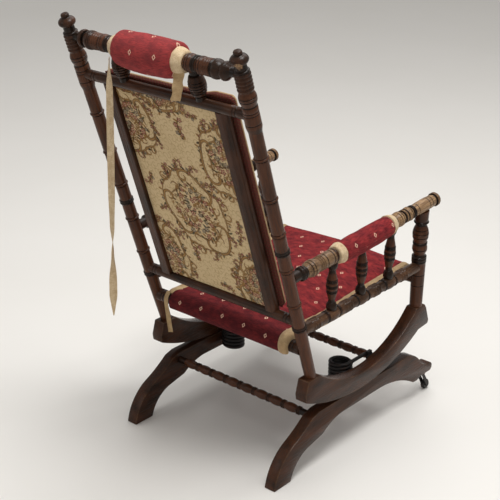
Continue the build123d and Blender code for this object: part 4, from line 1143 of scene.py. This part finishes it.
def seat_binding(tag, side):
    """Tan tape sewn along the seat's side, widest half way along and folded down over the edge."""
    path = seat_path(1.0)[11:-1]
    end_width = 18.0
    drawn_in = 6.0
    if tag == "left":
        path = path[:-9]
        end_width = 14.0
        drawn_in = 18.0
    lengths = run_lengths(path)
    points = []
    pattern = []
    for i, ((y, z), length) in enumerate(zip(path, lengths)):
        y0, z0 = path[max(i - 1, 0)]
        y1, z1 = path[min(i + 1, len(path) - 1)]
        run = sqrt((y1 - y0) ** 2 + (z1 - z0) ** 2)
        out_y = -(z1 - z0) / run
        out_z = (y1 - y0) / run
        share = length / lengths[-1]
        width = 14.0 + (end_width - 14.0) * share + 26.0 * hump(share, 1.2)
        outer = SEAT_X + SEAT_EDGE_W
        outer -= drawn_in * max(0.0, (share - 0.6) / 0.4)
        section = [(-width, 0.3), (1.0 - width, 1.7), (-width / 2, 2.2), (-6.0, 2.0), (-1.6, 1.0)]
        section += [(0.0, -2.0), (-0.2, -11.0), (-1.6, -11.0), (-1.9, -1.5), (-5.0, 0.2)]
        for x, lift in section:
            lift += 0.35 * ripple(length / 9 + x, length / 5.2)
            points.append((side * (outer + x), CONTACT_Y + y + out_y * lift, z + out_z * lift))
            pattern.append((x * MM, length * MM, 0.0))
    piece = loft("seat_binding_" + tag, points, len(section), 60.0, pattern=pattern)
    settle(piece, seat_tape, ["seat_edge_" + tag])


seat()
for tag, side in SIDES.items():
    seat_binding(tag, side)


# Back pad: crowned, on the sitter's side of the back
PAD_HALF_X = 179.5
PAD_LOW = 178.0
PAD_HIGH = 710.0
PAD_REAR = 12.6
PAD_EDGE_T = 11.0
PAD_CROWN = 16.0
PAD_DRAWN_DOWN = 8.0


def pad_top(x):
    """Top edge of the back pad: drawn down behind the upper rail, but for its right corner."""
    share = min(1.0, max(0.0, (-x - 96.0) / 40.0))
    return PAD_HIGH - PAD_DRAWN_DOWN * (1 - share * share * (3 - 2 * share))


def back_pad():
    across = 49
    along = 65
    points = []
    pattern = []
    for face in (0, 1):
        for i in range(along):
            v = -cos(pi * i / (along - 1))
            for j in range(across):
                u = -cos(pi * j / (across - 1))
                edge = (1 - abs(u) ** 9) ** 0.4 * (1 - abs(v) ** 14) ** 0.4
                crown = (1 - u * u) * (1 - v**4)
                slack = 0.5 * ripple(u * 9 + v * 4, v * 17, u * 5 - v * 11)
                full = PAD_EDGE_T * edge + PAD_CROWN * crown + slack
                offset = PAD_REAR + (full if face else 1.6 * edge - 1.6)
                x = u * PAD_HALF_X
                s = PAD_LOW + (v + 1) * (pad_top(x) - PAD_LOW) / 2
                points.append(on_back(x, s, offset))
                pattern.append((x * MM, s * MM, offset * MM if abs(u) == 1 else 0.0))
    total = across * along
    faces = []
    for base in (0, total):
        faces += [tuple(k + base for k in quad) for quad in loops_to_faces(along, across, closed=False)]
    rim = list(range(across)) + [i * across + across - 1 for i in range(1, along)]
    rim += [total - 2 - j for j in range(across - 1)] + [(along - 2 - i) * across for i in range(along - 2)]
    for a, b in zip(rim, rim[1:] + rim[:1]):
        faces.append((a, b, b + total, a + total))
    piece = mesh_piece("back_cushion", points, faces, 75.0)
    plane = on_back(0.0, PAD_LOW)

    def held(place):
        return (place - plane).dot(BACK_FRONT) < PAD_REAR + 8.0 or abs(place.x) > PAD_HALF_X - 8.0

    plump(piece, 6.0, held)
    give(piece, "pattern", pattern)
    quads = (along - 1) * (across - 1)
    for polygon in piece.data.polygons:
        polygon.material_index = 0 if quads <= polygon.index < 2 * quads else 1
    settle(piece, [moquette, gimp], ["back_pad"])


back_pad()


def strip(name, path, outs, section, material):
    """Trim of one section carried round a closed path; outs gives two directions at each point of it."""
    points = []
    pattern = []
    length = 0.0
    for i, (place, (first, second)) in enumerate(zip(path, outs)):
        if i:
            length += (place - path[i - 1]).length
        for a, b in section:
            points.append(place + first * a + second * b)
            pattern.append((a * MM + b * MM, length * MM, 0.0))
    count = len(section)
    rows = len(path)
    faces = loops_to_faces(rows, count)
    last = (rows - 1) * count
    faces += [(last + j, last + (j + 1) % count, (j + 1) % count, j) for j in range(count)]
    piece = mesh_piece(name, points, faces, 60.0)
    give(piece, "pattern", pattern)
    settle(piece, material)


def pad_rim(inset, offset):
    """Closed line round the back pad, with outward and forward directions at each point."""
    half_x = PAD_HALF_X - inset
    low = PAD_LOW + inset
    corner = 9.0
    line = []
    outs = []

    def top(x):
        return pad_top(x) - inset

    def add(x, s, angle):
        line.append(on_back(x, s, offset))
        outs.append(((ACROSS * cos(angle) + BACK_UP * sin(angle)).normalized(), BACK_FRONT))

    for cx, cs, start in ((1, 1, 0.0), (-1, 1, pi / 2), (-1, -1, pi), (1, -1, 3 * pi / 2)):
        middle_x = cx * (half_x - corner)
        middle_s = top(cx * half_x) - corner if cs > 0 else low + corner
        for k in range(7):
            angle = start + pi / 2 * k / 6
            add(middle_x + corner * cos(angle), middle_s + corner * sin(angle), angle)
        if start == 0.0:
            for k in range(1, 36):
                x = (half_x - corner) * (1 - k / 18)
                add(x, top(x), pi / 2)
    full_line = []
    full_outs = []
    for i in range(len(line)):
        j = (i + 1) % len(line)
        gap = (line[j] - line[i]).length
        steps = max(1, int(gap / 12))
        for k in range(steps):
            full_line.append(line[i].lerp(line[j], k / steps))
            first = outs[i][0].lerp(outs[j][0], k / steps).normalized()
            full_outs.append((first, BACK_FRONT))
    return full_line, full_outs


rim_line, rim_outs = pad_rim(0.0, PAD_REAR)
gimp_section = [(-7.0, -0.3), (-6.4, -0.9), (0.6, -0.9), (1.9, 0.5), (1.9, 7.4), (0.6, 9.6), (-0.6, 9.0)]
gimp_section += [(0.4, 7.0), (0.4, 0.8), (-6.4, 0.4)]
strip("pad_gimp", rim_line, rim_outs, gimp_section, gimp)
cord_section = [(2.6 * cos(2 * pi * k / 8), 2.6 * sin(2 * pi * k / 8)) for k in range(8)]
rim_line, rim_outs = pad_rim(0.6, PAD_REAR + 10.4)
strip("pad_piping", rim_line, rim_outs, cord_section, seat_tape)


# Tapestry panel
def thread(red, green, blue):
    return np.array(paint(red, green, blue)[:3])


GROUND = thread(208, 184, 143)
BROWN = thread(92, 66, 42)
OCHRE = thread(146, 108, 62)
GOLD = thread(190, 154, 100)
UMBER = thread(48, 37, 30)
ROSE = thread(146, 70, 62)
LEAF = thread(78, 74, 54)
DUSK = thread(104, 96, 88)
SHADE = thread(174, 146, 104)
CREAM = thread(222, 200, 160)
GOLDEN_TURN = 2.39996
TAPESTRY_HALF_X = 145.4
TAPESTRY_OFFSET = -0.8


class Loom:
    """Colours of a grid of threads, drawn over with strokes, leaves and blossoms in millimetres."""

    def __init__(self, across, along):
        self.across = across
        self.along = along
        self.u, self.v = np.meshgrid(across, along)
        self.colour = np.tile(GROUND, (*self.u.shape, 1))
        for i, x in enumerate(np.arange(across[0], across[-1], 15.0)):
            for j, y in enumerate(np.arange(along[0], along[-1], 13.0)):
                start = 1.9 * i + 2.7 * j
                place = (x + 4 * sin(start), y + 4 * cos(1.7 * start) + 6.5 * (i % 2))
                self.curl(*place, 8.5, start, 5.4, 0.9, 1 if (i + j) % 2 else -1, (SHADE, None))

    def window(self, x, y, reach):
        """Part of the grid within reach of a place, with its own coordinates."""
        columns = slice(*np.searchsorted(self.across, (x - reach, x + reach)))
        rows = slice(*np.searchsorted(self.along, (y - reach, y + reach)))
        spot = (rows, columns)
        return spot, self.u[spot] - x, self.v[spot] - y

    def lay(self, spot, mask, colour):
        mask = np.clip(mask, 0, 1)[..., None]
        self.colour[spot] = self.colour[spot] * (1 - mask) + colour * mask

    def stroke(self, line, width, colour, edge=None):
        """Tapered stroke along a line of points."""
        x, y = np.mean(line, axis=0)
        reach = max(np.hypot(px - x, py - y) for px, py in line) + 2 * width
        spot, u, v = self.window(x, y, reach)
        nearest = np.full(u.shape, 1e3)
        for i, (px, py) in enumerate(line):
            share = i / max(len(line) - 1, 1)
            here = width * (0.35 + 0.65 * sin(pi * min(1.0, 0.12 + 0.88 * share)))
            nearest = np.minimum(nearest, np.hypot(u - (px - x), v - (py - y)) / max(here, 0.5))
        if edge is not None:
            self.lay(spot, (1.5 - nearest) * 3, edge)
        self.lay(spot, (1.0 - nearest) * 3, colour)

    def leaf(self, x, y, angle, length, width, colour=LEAF):
        spot, u, v = self.window(x, y, length + 2)
        along = u * cos(angle) + v * sin(angle)
        across = v * cos(angle) - u * sin(angle)
        share = np.clip(along / length, 0, 1)
        half = width * np.sqrt(share * (1 - share)) * 1.2
        inside = (half - np.abs(across)) * 1.2
        inside[(along < 0) | (along > length)] = 0
        self.lay(spot, inside, colour)
        self.lay(spot, (0.6 - np.abs(across)) * (inside > 0.3), BROWN)

    def blossom(self, x, y, radius, colour=ROSE, petals=5, turn=0.0):
        spot, u, v = self.window(x, y, 1.2 * radius + 3)
        far = np.hypot(u, v)
        angle = np.arctan2(v, u) + turn
        rim = radius * (0.78 + 0.22 * np.cos(petals * angle))
        self.lay(spot, (rim + 1.0 - far) * 1.2, UMBER)
        self.lay(spot, (rim - far) * 1.2, colour)
        self.lay(spot, (0.62 * rim - far) * (np.cos(petals * angle) > 0.1), CREAM)
        self.lay(spot, (0.3 * radius - far) * 1.5, BROWN)

    def sprig(self, x, y, turn, size):
        """A bent stem with leaves and small blossoms."""
        stem = []
        for i in range(18):
            share = i / 17
            bend = turn + 0.8 * share
            stem.append((x + size * share * cos(bend), y + size * share * sin(bend)))
        self.stroke(stem, 0.9, OCHRE)
        for i in range(1, 18):
            lean = turn + 0.04 * i + (1.0 if i % 2 else -1.0) * (0.5 + 0.5 * abs(sin(1.7 * i)))
            tint = (LEAF, OCHRE, BROWN)[i % 3]
            self.leaf(*stem[i], lean, size * (0.2 + 0.09 * sin(2.9 * i)), size * 0.11, tint)
        for share, shift in ((1.0, 0.1), (0.8, -0.16), (0.62, 0.24), (0.5, -0.3), (0.3, 0.3)):
            bend = turn + 0.8 * share + shift
            tint = DUSK if share == 0.5 else ROSE
            radius = size * (0.08 + 0.06 * share)
            self.blossom(x + size * share * cos(bend), y + size * share * sin(bend), radius, tint, turn=bend)

    def curl(self, x, y, radius, start, sweep, width, flip=1, tints=(OCHRE, UMBER)):
        """A curl that winds in on itself."""
        line = []
        for i in range(40):
            share = i / 39
            angle = start + flip * sweep * share
            reach = radius * (1 - 0.74 * share)
            line.append((x + reach * cos(angle), y + reach * sin(angle)))
        self.stroke(line, width, *tints)

    def scroll(self, at, angle, sweep, radius, width, flip):
        """A band that follows a wreath and then winds inward."""
        line = [at(angle + flip * sweep * i / 24, 1.0 + 0.05 * sin(pi * i / 24)) for i in range(25)]
        (x0, y0), (x1, y1) = line[-2:]
        heading = atan2(y1 - y0, x1 - x0)
        middle_x = x1 - flip * radius * sin(heading)
        middle_y = y1 + flip * radius * cos(heading)
        for i in range(1, 31):
            bend = heading - flip * (pi / 2 - 5.4 * i / 30)
            reach = radius * (1 - 0.72 * i / 30)
            line.append((middle_x + reach * cos(bend), middle_y + reach * sin(bend)))
        self.stroke(line, width, OCHRE, BROWN)
        self.stroke(line[3:44], 0.32 * width, GOLD)

    def medallion(self, x, y, width, height, turn):
        """Uneven wreath of curls, with sprays outside it and a full posy inside."""

        def at(angle, reach):
            sway = 1 + 0.09 * sin(2 * angle + turn) + 0.05 * sin(5 * angle + 2 * turn)
            return x + width * reach * sway * cos(angle), y + height * reach * sway * sin(angle)

        for k in range(44):
            angle = 2 * pi * k / 44 + turn
            tint = (OCHRE, BROWN, LEAF, OCHRE, UMBER)[k % 5]
            self.leaf(*at(angle, 1.05), angle + 0.9 * sin(1.9 * k), 12 + 3 * sin(2.3 * k), 5.0, tint)
        for k in range(6):
            angle = 2 * pi * k / 6 + turn
            flip = 1 if k % 2 else -1
            self.scroll(at, angle, 1.0, (0.24 + 0.05 * sin(2.1 * k)) * width, 3.0, flip)
            self.scroll(at, angle + 0.2 * flip, -0.8, 0.17 * width, 2.0, flip)
            inner = [at(angle + 0.9 * i / 16, 0.8 - 0.1 * sin(pi * i / 16)) for i in range(17)]
            self.stroke(inner, 1.9, OCHRE, BROWN)
            self.curl(*at(angle + 0.5, 0.74), 0.17 * width, angle, 5.2, 1.4, -flip, (OCHRE, BROWN))
        for k in range(18):
            angle = 2 * pi * (k + 0.4) / 18 + turn
            tint = (ROSE, OCHRE, DUSK)[k % 3]
            self.blossom(*at(angle, 1.08 + 0.06 * sin(2.6 * k)), 3.4 + (k % 2), tint, 5, angle)
        for k in range(5):
            lean = pi / 2 + 0.4 * (k - 2) + 0.2 * sin(turn)
            self.sprig(*at(lean, 0.94), lean + 0.12 * (k - 2), 0.46 * width)
        for lean in (3.5, 4.4, 5.5):
            self.sprig(*at(lean, 1.0), lean - 0.2, 0.36 * width)
        for k in range(124):
            angle = GOLDEN_TURN * k + turn
            tint = (LEAF, BROWN, OCHRE, OCHRE)[k % 4]
            self.leaf(*at(angle, 0.72 * sqrt(k / 124)), angle + 1.3 * sin(3 * k), 12, 5.2, tint)
        for k in range(46):
            angle = GOLDEN_TURN * k + 0.8 + turn
            tint = (ROSE, DUSK, ROSE, OCHRE)[k % 4]
            self.blossom(*at(angle, 0.68 * sqrt((k + 0.5) / 46)), 5.0 + 1.5 * (k % 3), tint, 5, angle)


def tapestry_panel():
    low = LOWER_RAIL_S + 12.4
    high = UPPER_RAIL_S - 11.9
    half_x = TAPESTRY_HALF_X
    across = np.linspace(-half_x, half_x, 241)
    along = np.linspace(low, high, 417)
    loom = Loom(across, along)
    middle = (low + high) / 2
    for x, y, width, height, turn in (
        (0, middle - 36, 82, 104, 0.3),
        (138, middle + 172, 68, 84, 1.4),
        (-138, middle + 128, 70, 92, 2.5),
        (-132, middle - 204, 62, 74, 3.9),
        (136, middle - 192, 66, 84, 5.0),
        (16, middle + 262, 52, 44, 0.9),
    ):
        loom.medallion(x, y, width, height, turn)
    for x, y, turn, size in (
        (-30, middle + 156, 0.6, 50),
        (44, middle + 150, 0.2, 36),
        (-84, middle + 228, 5.6, 40),
        (116, middle + 44, 4.4, 40),
        (-118, middle - 20, 4.0, 38),
        (-112, middle - 96, 1.2, 34),
        (-56, middle - 172, 3.4, 40),
        (34, middle - 186, 0.9, 46),
        (-8, middle - 236, 2.6, 42),
        (118, middle - 62, 2.0, 34),
    ):
        loom.sprig(x, y, turn, size)
    rows, count = loom.u.shape
    points = []
    for s in along:
        for x in across:
            sag = 1.3 * (1 - (x / half_x) ** 2) * ripple(x / 47 + s / 120, s / 83)
            points.append(on_back(x, s, TAPESTRY_OFFSET + sag))
    piece = mesh_piece("back_panel", points, loops_to_faces(rows, count, closed=False), 50.0)
    pattern = np.stack([loom.u * MM, loom.v * MM, np.zeros_like(loom.u)], axis=-1)
    give(piece, "pattern", pattern.reshape(-1, 3))
    shades = np.concatenate([loom.colour, np.ones((rows, count, 1))], axis=-1)
    give(piece, "threads", shades.reshape(-1, 4), "FLOAT_COLOR")
    settle(piece, tapestry, ["back_tapestry"])


tapestry_panel()


# Loose tapes: flat ribbons that hang from the head bands and the seat
def ribbon(name, line, twists, widths, material, nodes, crimp=0.0, fray=0.0):
    """Hanging tape along a line; twists in degrees turn it, crimp waves it and fray roughens its end."""
    columns = 9
    thick = 0.5
    points = []
    pattern = []
    length = 0.0
    for i, (place, twist, width) in enumerate(zip(line, twists, widths)):
        if i:
            length += (place - line[i - 1]).length
        facing = Vector((cos(radians(twist)), sin(radians(twist)), 0))
        normal = facing.cross(UP)
        for j in range(2 * columns):
            front = j < columns
            share = j / (columns - 1) if front else (2 * columns - 1 - j) / (columns - 1)
            cup = 0.9 * (1 - (2 * share - 1) ** 2)
            wave = crimp * ripple(length / 3.1 + 2.0 * share, length / 5.3 - 3.0 * share + 1.0)
            end_drop = fray * ripple(17.0 * share, 29.0 * share + 1.0) if i == len(line) - 1 else 0.0
            reach = cup + wave + (thick if front else -thick)
            points.append(place + facing * ((share - 0.5) * width) + normal * reach - UP * end_drop)
            pattern.append((share * width * MM, length * MM, 0.0))
    piece = loft(name, points, 2 * columns, 60.0, pattern=pattern)
    settle(piece, material, nodes)


def spread(values, share):
    """Smooth reading of a list of values at a share of its length."""
    place = share * (len(values) - 1)
    i = min(int(place), len(values) - 2)
    t = place - i
    t = t * t * (3 - 2 * t)
    return values[i] * (1 - t) + values[i + 1] * t


def tail_top(x, behind, width, turn):
    """Where a tape leaves a head band, a distance behind the crest rail's axis."""
    near_edge = behind - width / 2 * abs(sin(radians(turn)))
    return on_back(x, CREST_S) + Vector((0, behind, -sqrt(27.0**2 - near_edge**2)))


LONG_TAIL = 577.0
LONG_TAIL_W = 17.5
LONG_TAIL_TWIST = (-45, 8, 14, 14, 8, -10, -60, -120, -135)
SHORT_TAIL = 50.0
SHORT_TAIL_LIFT = 6.0
SHORT_TAIL_TWIST = (14, 30, 36, 38)
SEAT_TAIL_W = 11.0
SEAT_TAIL_DROP = 72.0
SEAT_TAIL_TWIST = (6, 20, 30, 36)
BAND_MIDDLE = ROLL_LENGTH / 2 + SOFT_GAP + HEAD_BAND_W / 2


def long_tail():
    top = tail_top(ROLL_X + BAND_MIDDLE, 25.0, LONG_TAIL_W, LONG_TAIL_TWIST[0])
    shares = [i / 80 for i in range(81)]
    line = [top + Vector((8 * share, 12 * share, -LONG_TAIL * share)) for share in shares]
    twists = [spread(LONG_TAIL_TWIST, share) for share in shares]
    widths = [LONG_TAIL_W * min(1.0, 0.12 + (1 - share) * 11) for share in shares]
    ribbon("head_tail_long", line, twists, widths, cream_tape, ["head_tape_tail"])


def short_tail():
    top = tail_top(ROLL_X - BAND_MIDDLE, 12.0, HEAD_BAND_W, SHORT_TAIL_TWIST[0]) + UP * SHORT_TAIL_LIFT
    shares = [i / 24 for i in range(25)]
    line = []
    for share in shares:
        sway = Vector((1 + 1.2 * sin(8 * share), 12 + 1.5 * sin(6 * share), 0)) * share
        line.append(top + sway - UP * ((SHORT_TAIL + SHORT_TAIL_LIFT) * share))
    twists = [spread(SHORT_TAIL_TWIST, share) for share in shares]
    widths = [HEAD_BAND_W * (0.97 + 0.07 * sin(15 * share) - 0.12 * share**2) for share in shares]
    ribbon("head_tail_short", line, twists, widths, seat_tape, ["head_tape_end"],
           crimp=0.9, fray=3.0)


def seat_tail():
    """Tape that runs over the rear rail and hangs behind it."""
    rear_y, rear_z = rail_centre("rear")
    rail = Vector((SEAT_X + 5.0, CONTACT_Y + rear_y, rear_z))
    reach = REAR_RAIL_R + SEAT_WRAP + 2.7
    bend = [radians(66 * (1 - share)) for share in (0.0, 0.2, 0.4, 0.6, 0.8)]
    line = [rail + Vector((4.0 * sin(angle), reach * cos(angle), reach * sin(angle))) for angle in bend]
    top = rail + Vector((0, reach, 0))
    shares = [i / 36 for i in range(37)]
    line += [top + Vector((-15 * share, 2 * share, -SEAT_TAIL_DROP * share)) for share in shares]
    twists = [SEAT_TAIL_TWIST[0]] * len(bend) + [spread(SEAT_TAIL_TWIST, share) for share in shares]
    widths = [SEAT_TAIL_W] * len(line)
    ribbon("seat_tail", line, twists, widths, seat_tape, ["seat_tape_tail"])


long_tail()
short_tail()
seat_tail()


# Springs: one smooth wire a side, split half way up into two pieces
COIL_R = 25.0
WIRE_R = 4.5
COIL_LOW_Z = 110.0
COIL_TOP_Z = 184.0
COIL_TURNS = 7.75
COIL_CENTRE_Y = CONTACT_Y - 14.0
STRAP_Y = CONTACT_Y - 84.0
COIL_CENTRE_X = BASE_X - BASE_RAIL_T / 2 - WIRE_R - 5.0 - COIL_R


def wire_line(side):
    """Centre line of one spring's wire."""
    line = []
    count = 232
    for i in range(count + 1):
        turn = COIL_TURNS * i / count
        angle = -pi / 2 - 2 * pi * turn
        x = side * (COIL_CENTRE_X + COIL_R * cos(angle))
        z = COIL_LOW_Z + (COIL_TOP_Z - COIL_LOW_Z) * (turn / COIL_TURNS)
        line.append(Vector((x, COIL_CENTRE_Y + COIL_R * sin(angle), z)))
    first = Vector((side * (BASE_X - BASE_RAIL_T / 2 - 9.0), line[0].y, line[0].z))
    last = Vector((line[-1].x, STRAP_Y + 7.0, line[-1].z))
    return [first] + line + [last]


def wire(name, line, start, end):
    """Round wire along a line. Start and end are not used."""
    sides = 12
    points = []
    normal = None
    for i, place in enumerate(line):
        along = (line[min(i + 1, len(line) - 1)] - line[max(i - 1, 0)]).normalized()
        if normal is None:
            normal = frame_about(along)[0]
        normal = (normal - along * normal.dot(along)).normalized()
        second = along.cross(normal)
        for j in range(sides):
            angle = 2 * pi * j / sides
            points.append(place + (normal * cos(angle) + second * sin(angle)) * WIRE_R)
    piece = loft(name, points, sides, 70.0)
    settle(piece, spring_iron, body=None)
    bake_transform(piece)
    return piece


for tag, side in SIDES.items():
    line = wire_line(side)
    middle = len(line) // 2
    axis = Vector((side * COIL_CENTRE_X, COIL_CENTRE_Y, 0))
    low = axis + UP * (COIL_LOW_Z + 6)
    mid = axis + UP * ((COIL_LOW_Z + COIL_TOP_Z) / 2)
    high = axis + UP * (COIL_TOP_Z - 6)
    wire("coil_low_" + tag, line[: middle + 1], low, mid)
    wire("coil_high_" + tag, line[middle:], mid, high)
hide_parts("spring_coils")

# Iron fittings keep their CAD shape
for name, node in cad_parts.items():
    if name.startswith(("caster_", "spring_shoe", "spring_strap")):
        node.data.materials.clear()
        node.data.materials.append(black_iron)


# Stage, light and camera
def floor():
    s = Shader("pale_floor")
    cloud = s.noise(s.place(), 1.4, 3.0)
    s.set("Base Color", s.mix(cloud, paint(236, 233, 228), paint(229, 226, 220)))
    s.set("Roughness", s.scaled(cloud, 0.1, 0.62))
    mesh = bpy.data.meshes.new("floor")
    mesh.from_pydata([(-9, -9, 0), (9, -9, 0), (9, 9, 0), (-9, 9, 0)], [], [(0, 1, 2, 3)])
    mesh.materials.append(s.material)
    plane = link("floor", mesh)


def softbox(name, place, target, size, energy):
    light = bpy.data.lights.new(name, "AREA")
    light.shape = "RECTANGLE"
    light.size = size[0]
    light.size_y = size[1]
    light.energy = energy
    lamp = link(name, light)
    lamp.location = place
    lamp.rotation_euler = (Vector(target) - Vector(place)).to_track_quat("-Z", "Y").to_euler()


def studio():
    world = bpy.data.worlds.new("studio")
    world.use_nodes = True
    background = world.node_tree.nodes["Background"]
    background.inputs["Color"].default_value = (1.0, 0.985, 0.965, 1.0)
    background.inputs["Strength"].default_value = 0.46
    bpy.context.scene.world = world
    softbox("key", (-0.9, 0.3, 3.4), (0, 0, 0.45), (1.2, 1.2), 64.0)
    softbox("fill", (1.6, 3.2, 2.2), (0, 0, 0.5), (1.4, 1.4), 7.0)
    softbox("top", (0.4, -1.4, 3.3), (0, 0, 0.3), (2.4, 2.4), 42.0)
    bpy.context.scene.view_settings.view_transform = "Standard"


def camera():
    """Camera that matches the photograph's viewing angle, for a square frame."""
    data = bpy.data.cameras.new("camera")
    data.sensor_width = 36.0
    data.lens = 90.45
    eye = link("camera", data)
    place = (-1.7515, 2.0674, 1.5970)
    forward = Vector((0.604, -0.694, -0.391)).normalized()
    right = forward.cross(UP).normalized()
    above = right.cross(forward).normalized()
    eye.matrix_world = Matrix((*zip(right, above, -forward, place), (0, 0, 0, 1)))
    bpy.context.scene.camera = eye


floor()
studio()
camera()
